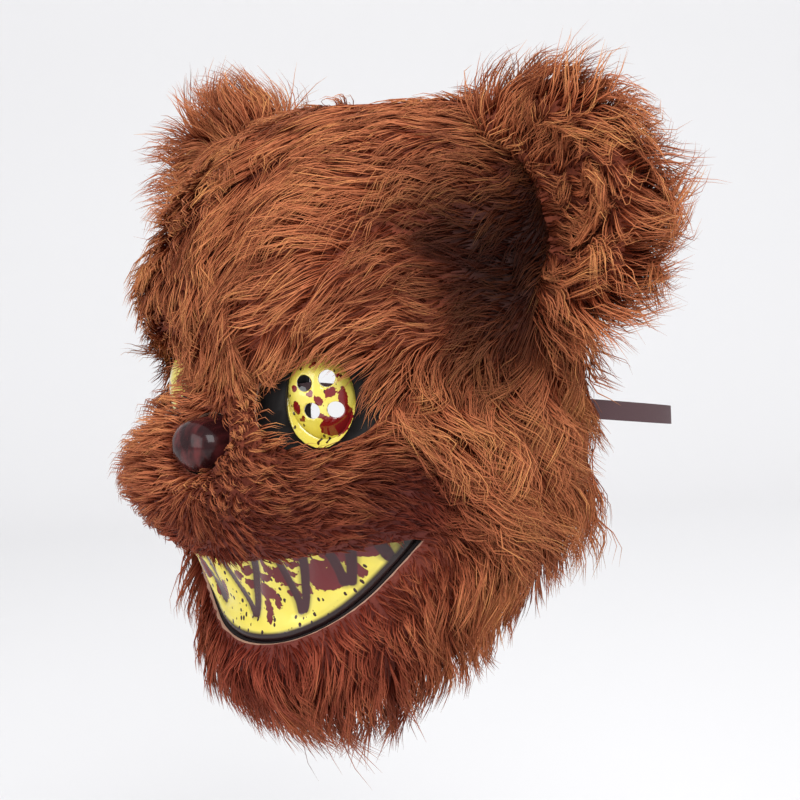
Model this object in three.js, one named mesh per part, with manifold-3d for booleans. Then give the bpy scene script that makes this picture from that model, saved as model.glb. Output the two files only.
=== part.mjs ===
// A plush bear mask with a hard plastic face, worn over the front half of the head.
// Millimetres, +Z up. The mask faces -Y and x = 0 is its middle. The origin is where it sits on
// the wearer's brow, between the eyes.
import * as THREE from 'three';
import { mergeVertices } from 'three/addons/utils/BufferGeometryUtils.js';
import Module from 'manifold-3d';

const wasm = await Module();
wasm.setup();

// Overall sizes of the plastic face
const FACE_HALF_WIDTH = 81;
const CROWN_RISE = 114;
const CHIN_DROP = 130;
const SIDE_DEPTH = 82;
const MUZZLE_REACH = 55;
const SHELL_WALL = 1.6;

// Relief of the plastic face
const BROW_HEIGHT = 7;
const SOCKET_DEPTH = 9;
const PAD_HEIGHT = 7;
const MOUTH_RECESS = 7;
const CHIN_SWELL = 6;

// Plush cover
const CLOTH_GAP = 0.3;
const PILE_DEPTH = 8;
const EDGE_PILE = 3;
const PANEL_GAP = 0.5;
const LOCK_LENGTH = 32;
const LOCK_RISE = 8;
const LOCK_WIDTH = 20;

// Eyes
const EYE_SPACING = 84;
const EYE_WIDTH = 27;
const EYE_TALL = 35;
const EYE_LEAN = 10;
const EYE_BULGE = 8;
const SEE_HOLE = 6.4;
const EYE_OPENING_WIDTH = 52;
const EYE_OPENING_TALL = 39;

// Nose
const NOSE_WIDTH = 27;
const NOSE_TALL = 22;
const NOSE_BULGE = 9;

// Mouth
const MOUTH_HALF_WIDTH = 67.5;
const MOUTH_TALL = 35;
const CORNER_LIFT = 9;
const TEETH_WALL = 2.6;
const GROOVE_WIDTH = 4.2;
const GROOVE_DEPTH = 0.9;
const LIP_RADIUS = 2.4;

// Plastic inserts are seated behind the shell by a rim round their opening
const INSERT_WALL = 1.5;
const RIM_WIDTH = 4;
const SEAT_GAP = 0.3;

// Ears
const EAR_HALF_WIDTH = 52;
const EAR_HALF_HEIGHT = 52;
const EAR_THICK = 22;
const EAR_CUP = 9;
const EAR_YAW = 10;
const EAR_LOCK_LENGTH = 23;
const EAR_LOCK_WIDTH = 21;

// Elastic strap, stretched round a head, and its rivets
const STRAP_WIDTH = 8;
const STRAP_THICK = 1.2;
const STRAP_BELOW_EYES = 16;
const STRAP_DROP = 19;
const HEAD_BACK = 196;
const TAB_LENGTH = 16;
const RIVET_DIAMETER = 3;
const RIVET_HEAD = 6.4;
const RIVET_HEAD_THICK = 1;

const { PI, sin, cos, abs, sign, hypot, exp, min, max, floor, ceil, sqrt } = Math;
const radians = THREE.MathUtils.degToRad;
const vec = (x, y, z) => new THREE.Vector3(x, y, z);

// Horizontal sections of the face from chin to crown. level is a share of CHIN_DROP below the eyes
// and of CROWN_RISE above them, width of FACE_HALF_WIDTH, edge of SIDE_DEPTH and front of
// MUZZLE_REACH. square is the section's roundness, 2 for an ellipse and more for a boxier front.
const SECTIONS = [
  { level: -1.0, width: 0.24, edge: 0.08, front: 0.06, square: 2.0 },
  { level: -0.93, width: 0.45, edge: 0.23, front: 0.28, square: 2.1 },
  { level: -0.82, width: 0.65, edge: 0.43, front: 0.45, square: 2.2 },
  { level: -0.68, width: 0.81, edge: 0.66, front: 0.58, square: 2.4 },
  { level: -0.54, width: 0.93, edge: 0.86, front: 0.72, square: 2.4 },
  { level: -0.4, width: 1.0, edge: 0.97, front: 0.86, square: 2.4 },
  { level: -0.26, width: 1.0, edge: 1.0, front: 0.94, square: 2.6 },
  { level: -0.12, width: 1.0, edge: 1.0, front: 0.86, square: 2.7 },
  { level: 0.02, width: 1.0, edge: 1.0, front: 0.64, square: 2.7 },
  { level: 0.17, width: 1.01, edge: 1.0, front: 0.54, square: 2.8 },
  { level: 0.33, width: 1.02, edge: 1.0, front: 0.54, square: 2.9 },
  { level: 0.5, width: 1.0, edge: 1.0, front: 0.42, square: 2.8 },
  { level: 0.67, width: 0.94, edge: 1.0, front: 0.2, square: 2.7 },
  { level: 0.8, width: 0.83, edge: 1.0, front: -0.06, square: 2.6 },
  { level: 0.89, width: 0.68, edge: 1.0, front: -0.4, square: 2.4 },
  { level: 0.95, width: 0.42, edge: 1.0, front: -0.9, square: 2.2 },
];

// Swells and hollows on both sides of the face. out and wide are shares of FACE_HALF_WIDTH, up is
// a level as above and tall a share of CHIN_DROP.
const RELIEF = [
  { out: 0.42, up: 0.3, wide: 0.42, tall: 0.13, height: BROW_HEIGHT },
  { out: 0.55, up: 0.0, wide: 0.24, tall: 0.15, height: -SOCKET_DEPTH },
  { out: 0.42, up: -0.27, wide: 0.34, tall: 0.13, height: PAD_HEIGHT },
  { out: 0.3, up: -0.62, wide: 0.5, tall: 0.1, height: -MOUTH_RECESS },
  { out: 0.0, up: -0.86, wide: 0.42, tall: 0.1, height: CHIN_SWELL },
];

// Depth of the dense pile over the plastic, as shares of PILE_DEPTH, by level as above: front is
// the middle of the face and side its flanks.
const PILE = [
  { level: -1.0, front: 0.5, side: 0.4 },
  { level: -0.85, front: 1.0, side: 0.7 },
  { level: -0.55, front: 1.1, side: 1.0 },
  { level: -0.25, front: 0.75, side: 1.1 },
  { level: 0.0, front: 0.9, side: 1.1 },
  { level: 0.28, front: 1.2, side: 1.15 },
  { level: 0.6, front: 1.1, side: 1.0 },
  { level: 0.9, front: 0.85, side: 0.8 },
  { level: 1.0, front: 0.5, side: 0.5 },
];

const heightOfLevel = (level) => level * (level > 0 ? CROWN_RISE : CHIN_DROP);

// The face as a loft. turn is the angle round the face, 0 in front and 90 degrees at the side
// edges, and t runs from 0 at the chin to 1 at the crown.
const SIDE_TURN = PI / 2;

function spline(column, t) {
  const place = min(max(t, 0), 1) * (SECTIONS.length - 1);
  const i = min(floor(place), SECTIONS.length - 2);
  const f = place - i;
  const at = (k) => SECTIONS[min(max(k, 0), SECTIONS.length - 1)][column];
  const [a, b, c, d] = [at(i - 1), at(i), at(i + 1), at(i + 2)];
  return b + 0.5 * f * (c - a + f * (2 * a - 5 * b + 4 * c - d + f * (3 * (b - c) + d - a)));
}

const rowHeight = (t) => heightOfLevel(spline('level', t));

function sectionPoint(turn, t) {
  const halfWidth = spline('width', t) * FACE_HALF_WIDTH;
  const edge = spline('edge', t) * SIDE_DEPTH;
  const reach = edge + spline('front', t) * MUZZLE_REACH;
  const square = spline('square', t);
  const across = abs(sin(turn)) / halfWidth;
  const ahead = abs(cos(turn)) / reach;
  const radius = (across ** square + ahead ** square) ** (-1 / square);
  return vec(radius * sin(turn), edge - radius * cos(turn), rowHeight(t));
}

const STEP = 0.002;

function tangents(pointAt, turn, t) {
  const low = max(t - STEP, 0);
  const high = min(t + STEP, 1);
  const around = pointAt(turn + STEP, t).sub(pointAt(turn - STEP, t)).divideScalar(2 * STEP);
  const up = pointAt(turn, high).sub(pointAt(turn, low)).divideScalar(high - low);
  return { around, up, out: around.clone().cross(up).normalize() };
}

function reliefAt(point) {
  return RELIEF.reduce((sum, swell) => {
    const x = (abs(point.x) - swell.out * FACE_HALF_WIDTH) / (swell.wide * FACE_HALF_WIDTH);
    const z = (point.z - heightOfLevel(swell.up)) / (swell.tall * CHIN_DROP);
    return sum + swell.height * exp(-x * x - z * z);
  }, 0);
}

function facePoint(turn, t) {
  const point = sectionPoint(turn, t);
  return point.addScaledVector(tangents(sectionPoint, turn, t).out, reliefAt(point));
}

function skinPoint(turn, t, offset) {
  return facePoint(turn, t).addScaledVector(tangents(facePoint, turn, t).out, offset);
}

function bisect(low, high, tooLow) {
  for (let i = 0; i < 40; i += 1) {
    const middle = (low + high) / 2;
    if (tooLow(middle)) low = middle;
    else high = middle;
  }
  return (low + high) / 2;
}

const rowAtHeight = (z) => bisect(0, 1, (t) => rowHeight(t) < z);
const turnAtWidth = (x, t) => bisect(-SIDE_TURN, SIDE_TURN, (turn) => sectionPoint(turn, t).x < x);

function placeOnFace(x, z) {
  const t = rowAtHeight(z);
  const turn = turnAtWidth(x, t);
  return { turn, t, centre: facePoint(turn, t), out: tangents(facePoint, turn, t).out };
}

function pileDepth(turn, t) {
  const level = spline('level', t);
  const next = max(PILE.findIndex((row) => row.level > level), 1);
  const [below, above] = level >= 1 ? PILE.slice(-2) : [PILE[next - 1], PILE[next]];
  const share = min((level - below.level) / (above.level - below.level), 1);
  const deep = (row) => row.front + (row.side - row.front) * (abs(turn) / SIDE_TURN);
  const full = (deep(below) + (deep(above) - deep(below)) * share) * PILE_DEPTH;
  const fromEdge = ((SIDE_TURN - abs(turn)) * FACE_HALF_WIDTH) / (2 * PILE_DEPTH);
  return EDGE_PILE + (full - EDGE_PILE) * sqrt(min(max(fromEdge, 0), 1));
}

// Closed solids
function solidOf(geometry) {
  geometry.deleteAttribute('normal');
  geometry.deleteAttribute('uv');
  const whole = mergeVertices(geometry, 1e-4);
  return new wasm.Manifold(new wasm.Mesh({
    numProp: 3,
    vertProperties: new Float32Array(whole.attributes.position.array),
    triVerts: new Uint32Array(whole.index.array),
  }));
}

function geometryOf(solid) {
  const mesh = solid.getMesh();
  const corners = new THREE.BufferAttribute(new Float32Array(mesh.vertProperties), 3);
  const geometry = new THREE.BufferGeometry().setAttribute('position', corners);
  geometry.setIndex(new THREE.BufferAttribute(new Uint32Array(mesh.triVerts), 1));
  geometry.computeVertexNormals();
  return geometry;
}

// Corners and triangles to a solid. A solid drawn inside out on the mirrored side is turned round.
function meshedSolid(points, faces) {
  const build = (list) => {
    const geometry = new THREE.BufferGeometry().setFromPoints(points);
    geometry.setIndex(list.flat());
    return solidOf(geometry);
  };
  const solid = build(faces);
  return solid.volume() > 0 ? solid : build(faces.map(([a, b, c]) => [a, c, b]));
}

// Triangles over a skin of rings of corners, one ring after the other, with capped ends.
function ringFaces(rings, corners) {
  const faces = [];
  for (let r = 0; r < rings - 1; r += 1) {
    for (let k = 0; k < corners; k += 1) {
      const [a, b] = [r * corners + k, r * corners + ((k + 1) % corners)];
      faces.push([a, b, b + corners], [a, b + corners, a + corners]);
    }
  }
  const last = (rings - 1) * corners;
  for (let k = 1; k < corners - 1; k += 1) faces.push([0, k + 1, k], [last, last + k, last + k + 1]);
  return faces;
}

const largest = (solid) => solid.decompose().reduce((a, b) => (b.volume() > a.volume() ? b : a));

// The loft is cut into cells along shared lines, so that pieces lying on each other have parallel
// facets.
const ROUND_CELLS = 18;
const FACE_CELLS = 15;
const shareLines = ([from, to], cells) => Array.from({ length: to - from + 1 }, (_, k) => (from + k) / cells);
const turnLines = (range) => shareLines(range, ROUND_CELLS).map((share) => PI * share - SIDE_TURN);
const rowLines = (range) => shareLines(range, FACE_CELLS);

// A closed slab over a rectangle of the loft, between two offsets that may vary over it. Walls
// that face each other over a seam are split along the same diagonals.
function slab({ turns, rows, inner, outer }) {
  const points = [];
  for (const offset of [inner, outer]) {
    for (const t of rows) for (const turn of turns) points.push(skinPoint(turn, t, offset(turn, t)));
  }
  const wide = turns.length;
  const layer = wide * rows.length;
  const faces = [];
  const quad = (a, b, c, d) => faces.push([a, b, c], [a, c, d]);
  const wall = (a, b) => quad(a, b, b + layer, a + layer);
  const facingWall = (a, b) => quad(b, b + layer, a + layer, a);
  for (let j = 0; j < rows.length - 1; j += 1) {
    const row = j * wide;
    for (let a = row; a < row + wide - 1; a += 1) {
      quad(a + layer, a + 1 + layer, a + wide + 1 + layer, a + wide + layer);
      quad(a, a + wide, a + wide + 1, a + 1);
    }
    wall(row + wide, row);
    facingWall(row + wide - 1, row + 2 * wide - 1);
  }
  for (let i = 0; i < wide - 1; i += 1) {
    wall(i, i + 1);
    facingWall(layer - wide + i + 1, layer - wide + i);
  }
  return meshedSolid(points, faces);
}

const constant = (value) => () => value;

// The part of such a slab that covers a spot of the face, to a distance across and up and down.
function patch(spot, across, tall, inner, outer) {
  const covering = (low, high, cells) => [max(floor(low * cells), 0), min(ceil(high * cells), cells)];
  const share = (x) => (turnAtWidth(x, spot.t) + SIDE_TURN) / PI;
  const { x, z } = spot.centre;
  const turns = covering(share(x - across), share(x + across), ROUND_CELLS);
  const rows = covering(rowAtHeight(z - tall), rowAtHeight(z + tall), FACE_CELLS);
  return slab({
    turns: turnLines(turns),
    rows: rowLines(rows),
    inner: constant(inner),
    outer: constant(outer),
  });
}

// Axes of a spot: right along the face, up square to it, and out of it.
function axesAt({ centre, out }) {
  const right = vec(0, 0, 1).cross(out).normalize();
  return new THREE.Matrix4().makeBasis(right, out.clone().cross(right), out).setPosition(centre);
}

// A prism of an outline drawn on a spot's own plane, pushed through it both ways.
function prism(outline, spot, depth) {
  const shape = new THREE.Shape(outline);
  const geometry = new THREE.ExtrudeGeometry(shape, { depth: 2 * depth, bevelEnabled: false });
  return solidOf(geometry.translate(0, 0, -depth).applyMatrix4(axesAt(spot)));
}

const OVAL_CORNERS = 14;
const SMALL_CORNERS = 8;

function oval(width, tall, corners, lean = 0) {
  return Array.from({ length: corners }, (_, i) => {
    const angle = (2 * PI * i) / corners;
    const point = new THREE.Vector2((cos(angle) * width) / 2, (sin(angle) * tall) / 2);
    return point.rotateAround(new THREE.Vector2(), lean);
  });
}

// Places of the openings, as levels of the face
const EYE_LEVEL = 0.015;
const NOSE_LEVEL = -0.146;
const MOUTH_LEVEL = -0.5;
const CUT_DEPTH = 30;

function eyePlace(side) {
  const spot = placeOnFace((side * EYE_SPACING) / 2, heightOfLevel(EYE_LEVEL));
  return { ...spot, out: spot.out.setZ(0).normalize(), lean: side * radians(EYE_LEAN) };
}

const nosePlace = () => ({ ...placeOnFace(0, heightOfLevel(NOSE_LEVEL)), out: vec(0, -1, 0), lean: 0 });

function ovalCut(spot, width, tall) {
  return prism(oval(width, tall, OVAL_CORNERS, spot.lean), spot, CUT_DEPTH);
}

const eyeCut = (side) => ovalCut(eyePlace(side), EYE_WIDTH, EYE_TALL);
const eyeFurCut = (side) => ovalCut(eyePlace(side), EYE_OPENING_WIDTH, EYE_OPENING_TALL);
const noseCut = (grow) => ovalCut(nosePlace(), NOSE_WIDTH + 2 * grow, NOSE_TALL + 2 * grow);

// The grin in front view: its upper edge rises a little towards the corners and its lower edge is a
// deep arc between them.
const mouthTop = heightOfLevel(MOUTH_LEVEL);
const mouthCorner = mouthTop + CORNER_LIFT;
const mouthBottom = mouthTop - MOUTH_TALL;
const UPPER_BOW = 1.2;
const LOWER_BOW = 2.2;

function mouthEdge(x, middle, bow, grow) {
  const share = min(abs(x) / (MOUTH_HALF_WIDTH + grow), 1);
  return middle + (mouthCorner - middle) * share ** bow;
}

const upperEdge = (x, grow = 0) => mouthEdge(x, mouthTop + grow, UPPER_BOW, grow);
const lowerEdge = (x, grow = 0) => mouthEdge(x, mouthBottom - grow, LOWER_BOW, grow);

function mouthCut(grow) {
  const across = MOUTH_HALF_WIDTH + grow;
  const steps = 10;
  const xs = Array.from({ length: steps + 1 }, (_, i) => across * ((2 * i) / steps - 1));
  const lower = xs.map((x) => new THREE.Vector2(x, lowerEdge(x, grow)));
  const upper = xs.slice(1, -1).reverse().map((x) => new THREE.Vector2(x, upperEdge(x, grow)));
  const depth = (MUZZLE_REACH + SIDE_DEPTH) / 2;
  const front = { centre: vec(0, -depth, 0), out: vec(0, -1, 0) };
  return prism([...lower, ...upper], front, depth);
}

// Plastic face
function maskShell() {
  const shell = slab({
    turns: turnLines([0, ROUND_CELLS]),
    rows: rowLines([0, FACE_CELLS]),
    inner: constant(-SHELL_WALL),
    outer: constant(0),
  });
  const cuts = [eyeCut(-1), eyeCut(1), noseCut(0), mouthCut(0), rivetHole(-1), rivetHole(1)];
  return cuts.reduce((solid, cut) => solid.subtract(cut), shell);
}

const DOME_CORNERS = 12;

function dome(spot, width, tall, bulge) {
  const ball = new THREE.SphereGeometry(1, DOME_CORNERS, DOME_CORNERS / 2).rotateX(PI / 2);
  const lean = new THREE.Matrix4().makeRotationZ(spot.lean);
  ball.scale(width / 2, tall / 2, bulge).applyMatrix4(lean).applyMatrix4(axesAt(spot));
  return solidOf(ball);
}

// A hollow dome that stands out of its opening in the shell, with a rim seated behind the shell.
const rimFront = -SHELL_WALL - SEAT_GAP;
const rimBack = rimFront - INSERT_WALL;

function insert(spot, width, tall, bulge) {
  const [wide, high] = [width - 2 * SEAT_GAP, tall - 2 * SEAT_GAP];
  const across = wide / 2 + 2 * RIM_WIDTH;
  const up = high / 2 + 2 * RIM_WIDTH;
  const back = rimBack - bulge - INSERT_WALL;
  const outside = dome(spot, wide, high, bulge + INSERT_WALL);
  const inside = dome(spot, wide - 2 * INSERT_WALL, high - 2 * INSERT_WALL, bulge);
  const rim = patch(spot, across, up, rimBack, rimFront)
    .intersect(ovalCut(spot, width + 2 * RIM_WIDTH, tall + 2 * RIM_WIDTH));
  return largest(outside.add(rim).subtract(inside).subtract(patch(spot, across, up, back, rimBack)));
}

// See-holes, as shares of the eye's width and height from its middle.
const SEE_HOLES = [
  { right: -0.16, up: 0.21 },
  { right: 0.17, up: 0.21 },
  { right: -0.13, up: -0.1 },
  { right: 0.2, up: -0.14 },
];

function eye(side) {
  const spot = eyePlace(side);
  const holes = SEE_HOLES.map(({ right, up }) => {
    const place = vec(side * right * EYE_WIDTH, up * EYE_TALL, 0).applyMatrix4(axesAt(spot));
    return prism(oval(SEE_HOLE, SEE_HOLE, SMALL_CORNERS), { ...spot, centre: place }, CUT_DEPTH);
  });
  const whole = insert(spot, EYE_WIDTH, EYE_TALL, EYE_BULGE);
  return holes.reduce((solid, hole) => solid.subtract(hole), whole);
}

const nose = () => insert(nosePlace(), NOSE_WIDTH, NOSE_TALL, NOSE_BULGE);

// Upper fangs, as shares of MOUTH_HALF_WIDTH and of MOUTH_TALL below its top. Two grooves run from
// a fang's roots at the upper edge to its tip. All are mirrored on the other side.
const FANGS = [
  { roots: [-0.19, 0.19], tip: 0, down: 0.68 },
  { roots: [0.33, 0.54], tip: 0.35, down: 0.6 },
  { roots: [0.65, 0.77], tip: 0.645, down: 0.27 },
];

function skinAt(x, z, offset) {
  const t = rowAtHeight(z);
  return skinPoint(turnAtWidth(x, t), t, offset);
}

// One groove: a bar sunk into the plate's face from a root to a tip.
const GROOVE_SECTION = [
  { aside: -1, offset: -GROOVE_DEPTH },
  { aside: 1, offset: -GROOVE_DEPTH },
  { aside: 1, offset: INSERT_WALL },
  { aside: -1, offset: INSERT_WALL },
];

function groove(from, to) {
  const across = new THREE.Vector2(from.y - to.y, to.x - from.x).setLength(GROOVE_WIDTH / 2);
  const points = [from, to].flatMap(({ x, y }) => GROOVE_SECTION.map(({ aside, offset }) => (
    skinAt(x + aside * across.x, y + aside * across.y, rimFront + offset))));
  return meshedSolid(points, ringFaces(2, GROOVE_SECTION.length));
}

// The dark lip is a round bead along the plate's lower edge, in the mouth opening.
const LIP_SIDES = 5;

function lip() {
  const steps = 12;
  const inset = LIP_RADIUS + 2 * SEAT_GAP;
  const across = MOUTH_HALF_WIDTH - 4 * inset;
  const route = Array.from({ length: steps + 1 }, (_, i) => {
    const x = across * ((2 * i) / steps - 1);
    return skinAt(x, lowerEdge(x) + inset, rimFront);
  });
  const section = new THREE.Shape(oval(2 * LIP_RADIUS, 2 * LIP_RADIUS, LIP_SIDES));
  const extrudePath = new THREE.CatmullRomCurve3(route);
  return solidOf(new THREE.ExtrudeGeometry(section, { extrudePath, steps, bevelEnabled: false }));
}

function teethPlate() {
  const spot = placeOnFace(0, (mouthTop + mouthBottom) / 2);
  const across = MOUTH_HALF_WIDTH + 2 * RIM_WIDTH;
  const plate = patch(spot, across, MOUTH_TALL / 2 + 2 * RIM_WIDTH, rimFront - TEETH_WALL, rimFront);
  let solid = plate.intersect(mouthCut(RIM_WIDTH));
  for (const side of [-1, 1]) {
    for (const { roots, tip, down } of FANGS) {
      const end = new THREE.Vector2(side * tip * MOUTH_HALF_WIDTH, mouthTop - down * MOUTH_TALL);
      for (const root of roots) {
        const x = side * root * MOUTH_HALF_WIDTH;
        solid = solid.subtract(groove(new THREE.Vector2(x, upperEdge(x)), end));
      }
    }
  }
  return solid.add(lip());
}

// Plush panels, each a pile slab with curved locks fused to it. turns and rows are cells of the
// loft. lay is the way the fur is brushed on the side of positive x, and a lock's length, rise and
// width are shares of the lock sizes above.
const LIP_ROW = 5;
const BROW_ROW = 9;
const MUZZLE_CELLS = 4;
const MIDDLE = ROUND_CELLS / 2;
const MUZZLE_SIDE = [MIDDLE - MUZZLE_CELLS, MIDDLE + MUZZLE_CELLS];
const SIDE_LOCKS = { around: 3, up: 3, length: 1.1, rise: 1, width: 1.1, lay: vec(0.1, 0.35, -1) };

const PANELS = {
  forehead_fur: {
    turns: [0, ROUND_CELLS], rows: [BROW_ROW, FACE_CELLS],
    locks: { around: 7, up: 3, length: 1.0, rise: 0.6, width: 1.2, lay: vec(0.1, -0.9, -0.6) },
  },
  muzzle_fur: {
    turns: MUZZLE_SIDE, rows: [LIP_ROW, BROW_ROW],
    locks: { around: 5, up: 3, length: 0.6, rise: 0.5, width: 0.9, lay: vec(0.8, 0.1, -0.5) },
  },
  cheek_fur_left: { turns: [MUZZLE_SIDE[1], ROUND_CELLS], rows: [LIP_ROW, BROW_ROW], locks: SIDE_LOCKS },
  cheek_fur_right: { turns: [0, MUZZLE_SIDE[0]], rows: [LIP_ROW, BROW_ROW], locks: SIDE_LOCKS },
  jaw_fur: {
    turns: [0, ROUND_CELLS], rows: [0, LIP_ROW],
    locks: { around: 7, up: 3, length: 0.9, rise: 0.8, width: 1.2, lay: vec(0.1, 0.2, -1) },
  },
};

// A small repeatable scatter between -0.5 and 0.5, so that locks don't stand in rows. HASH only
// has to be large and uneven. LOCK_SCATTER is its share of a lock's cell, way and size.
const HASH = { i: 12.9898, j: 78.233, stretch: 43758.5453 };
const LOCK_SCATTER = { around: 0.5, up: 0.4, aside: 0.5, size: 0.4 };
const EAR_SCATTER = { angle: 0.6, aside: 0.4, size: 0.5 };

function scatter(i, j) {
  const wave = sin(i * HASH.i + j * HASH.j) * HASH.stretch;
  return wave - floor(wave) - 0.5;
}

// The step in the loft's coordinates that moves a point one millimetre along a direction.
function loftStep({ turn, t }, direction) {
  const { around, up } = tangents(facePoint, turn, t);
  const [aa, au, uu] = [around.dot(around), around.dot(up), up.dot(up)];
  const [ad, ud] = [around.dot(direction), up.dot(direction)];
  const step = { turn: ad * uu - ud * au, t: ud * aa - ad * au };
  const length = around.multiplyScalar(step.turn).addScaledVector(up, step.t).length();
  return { turn: step.turn / length, t: step.t / length };
}

const LOCK_STATIONS = [
  { along: 0, rise: -0.35, width: 1 },
  { along: 0.5, rise: 0.75, width: 0.8 },
  { along: 1, rise: 1, width: 0.06 },
];
const KEEL = 0.3;
const clamp = THREE.MathUtils.clamp;

// One lock: a three-sided horn that leaves the pile and bends over along the lay. It stops at the
// seams of its panel and hangs past the mask's own edges.
function lockPoints(root, size, bounds) {
  const forward = loftStep(root, root.lay);
  const aside = loftStep(root, root.lay.clone().cross(tangents(facePoint, root.turn, root.t).out));
  return LOCK_STATIONS.flatMap((station) => [-1, 0, 1].map((k) => {
    const [far, wide] = [station.along * size.length, (k * station.width * size.width) / 2];
    const turn = root.turn + forward.turn * far + aside.turn * wide;
    const t = root.t + forward.t * far + aside.t * wide;
    const held = { turn: clamp(turn, ...bounds.turns), t: clamp(t, ...bounds.rows) };
    const past = max(abs(turn) - SIDE_TURN, 0) / max(abs(forward.turn), STEP / 2);
    const fallen = max(-t, t - 1, 0) / max(abs(forward.t), STEP / 2);
    const keel = k === 0 ? KEEL * size.width * station.width : 0;
    const offset = pileDepth(held.turn, held.t) + station.rise * size.rise + keel;
    return skinPoint(held.turn, held.t, offset).addScaledVector(root.lay, min(max(past, fallen), LOCK_RISE));
  }));
}

// No lock grows round the eyes and the mouth.
const LOCK_CLEAR = 0.5;

function nearOpening(point) {
  const clear = LOCK_CLEAR * LOCK_WIDTH;
  const eyes = [-1, 1].some((side) => {
    const from = point.clone().applyMatrix4(axesAt(eyePlace(side)).invert());
    return hypot(from.x / (EYE_OPENING_WIDTH / 2 + clear), from.y / (EYE_OPENING_TALL / 2 + clear)) < 1;
  });
  const low = lowerEdge(point.x) - clear;
  const high = upperEdge(point.x) + clear;
  return eyes || (abs(point.x) < MOUTH_HALF_WIDTH + clear && point.z > low && point.z < high);
}

// The part of a panel that its locks stay in, a little inside its seams.
const LOCK_MARGIN = 3;

function lockBounds(turns, rows) {
  const [aside, upward] = [LOCK_MARGIN / FACE_HALF_WIDTH, LOCK_MARGIN / (CROWN_RISE + CHIN_DROP)];
  const inside = ([low, high], end, margin, at) => [
    low > 0 ? at(low / end) + margin : at(0),
    high < end ? at(high / end) - margin : at(1),
  ];
  return {
    turns: inside(turns, ROUND_CELLS, aside, (share) => PI * share - SIDE_TURN),
    rows: inside(rows, FACE_CELLS, upward, (share) => share),
  };
}

// A panel's backing: the dense pile, cut at its seams and round the openings.
function backing({ turns, rows }) {
  const lines = { turns: turnLines(turns), rows: rowLines(rows) };
  const [aside, upward] = [FACE_HALF_WIDTH, CROWN_RISE + CHIN_DROP].map((span) => PANEL_GAP / 2 / span);
  if (turns[0] > 0) lines.turns[0] += aside;
  if (turns[1] < ROUND_CELLS) lines.turns[turns[1] - turns[0]] -= aside;
  if (rows[0] > 0) lines.rows[0] += upward;
  if (rows[1] < FACE_CELLS) lines.rows[rows[1] - rows[0]] -= upward;
  return openings(slab({ ...lines, inner: constant(CLOTH_GAP), outer: pileDepth }));
}

function openings(fur) {
  const cuts = [eyeFurCut(-1), eyeFurCut(1), noseCut(SEAT_GAP), mouthCut(SEAT_GAP)];
  return largest(cuts.reduce((solid, cut) => solid.subtract(cut), fur));
}

function panelLocks({ turns, rows, locks }) {
  const bounds = lockBounds(turns, rows);
  const solids = [];
  for (let j = 0; j < locks.up; j += 1) {
    for (let i = 0; i < locks.around; i += 1) {
      const across = (i + 0.5 + LOCK_SCATTER.around * scatter(i, j)) / locks.around;
      const upward = (j + 0.5 + LOCK_SCATTER.up * scatter(j, i + locks.around)) / locks.up;
      const turn = THREE.MathUtils.lerp(...bounds.turns, across);
      const t = THREE.MathUtils.lerp(...bounds.rows, upward);
      const aside = locks.lay.x * (sign(turn) || 1) + LOCK_SCATTER.aside * scatter(i + 1, j);
      const grown = 1 + LOCK_SCATTER.size * scatter(i + 1, j + 1);
      const size = {
        length: locks.length * LOCK_LENGTH * grown,
        rise: locks.rise * LOCK_RISE * grown,
        width: locks.width * LOCK_WIDTH,
      };
      const points = lockPoints({ turn, t, lay: locks.lay.clone().setX(aside).normalize() }, size, bounds);
      if (!nearOpening(points[1])) solids.push(meshedSolid(points, ringFaces(LOCK_STATIONS.length, 3)));
    }
  }
  return solids;
}

// Fuses locks to a solid, all but those that would run into its neighbours.
function withLocks(solid, locks, neighbours) {
  const free = locks.filter((lock) => neighbours.every((other) => lock.intersect(other).isEmpty()));
  return free.reduce((sum, lock) => sum.add(lock), solid);
}

// Ears. Each is a round padded disc, cupped in front and cut off where the head's pile begins.
// EAR_SEAT is its middle, as shares of FACE_HALF_WIDTH, SIDE_DEPTH and CROWN_RISE. ring is the
// share of the way from its middle to its rim, and front and back shares of EAR_THICK there.
const EAR_SEAT = { out: 1.1, back: 0.7, up: 0.61 };
const EAR_RINGS = [
  { ring: 0.02, front: 0.5, back: 0.5 },
  { ring: 0.4, front: 0.55, back: 0.48 },
  { ring: 0.72, front: 0.78, back: 0.4 },
  { ring: 0.92, front: 0.72, back: 0.2 },
  { ring: 1, front: 0.35, back: -0.15 },
];
const EAR_SPOKES = 12;

function earFrame(side) {
  const yaw = radians(EAR_YAW);
  return {
    centre: vec(side * EAR_SEAT.out * FACE_HALF_WIDTH, EAR_SEAT.back * SIDE_DEPTH, EAR_SEAT.up * CROWN_RISE),
    out: vec(side * cos(yaw), sin(yaw), 0),
    front: vec(side * sin(yaw), -cos(yaw), 0),
  };
}

function earPoint(side, ring, angle, depth) {
  const { centre, out, front } = earFrame(side);
  return centre.clone()
    .addScaledVector(out, cos(angle) * ring * EAR_HALF_WIDTH)
    .addScaledVector(vec(0, 0, 1), sin(angle) * ring * EAR_HALF_HEIGHT)
    .addScaledVector(front, depth * EAR_THICK - EAR_CUP * (1 - ring * ring));
}

function earDisc(side) {
  const profile = [
    ...EAR_RINGS.map(({ ring, front }) => ({ ring, depth: front })),
    ...EAR_RINGS.map(({ ring, back }) => ({ ring, depth: -back })).reverse(),
  ];
  const points = profile.flatMap(({ ring, depth }) => Array.from(
    { length: EAR_SPOKES },
    (_, k) => earPoint(side, ring, (2 * PI * k) / EAR_SPOKES, depth),
  ));
  return meshedSolid(points, ringFaces(profile.length, EAR_SPOKES));
}

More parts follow.
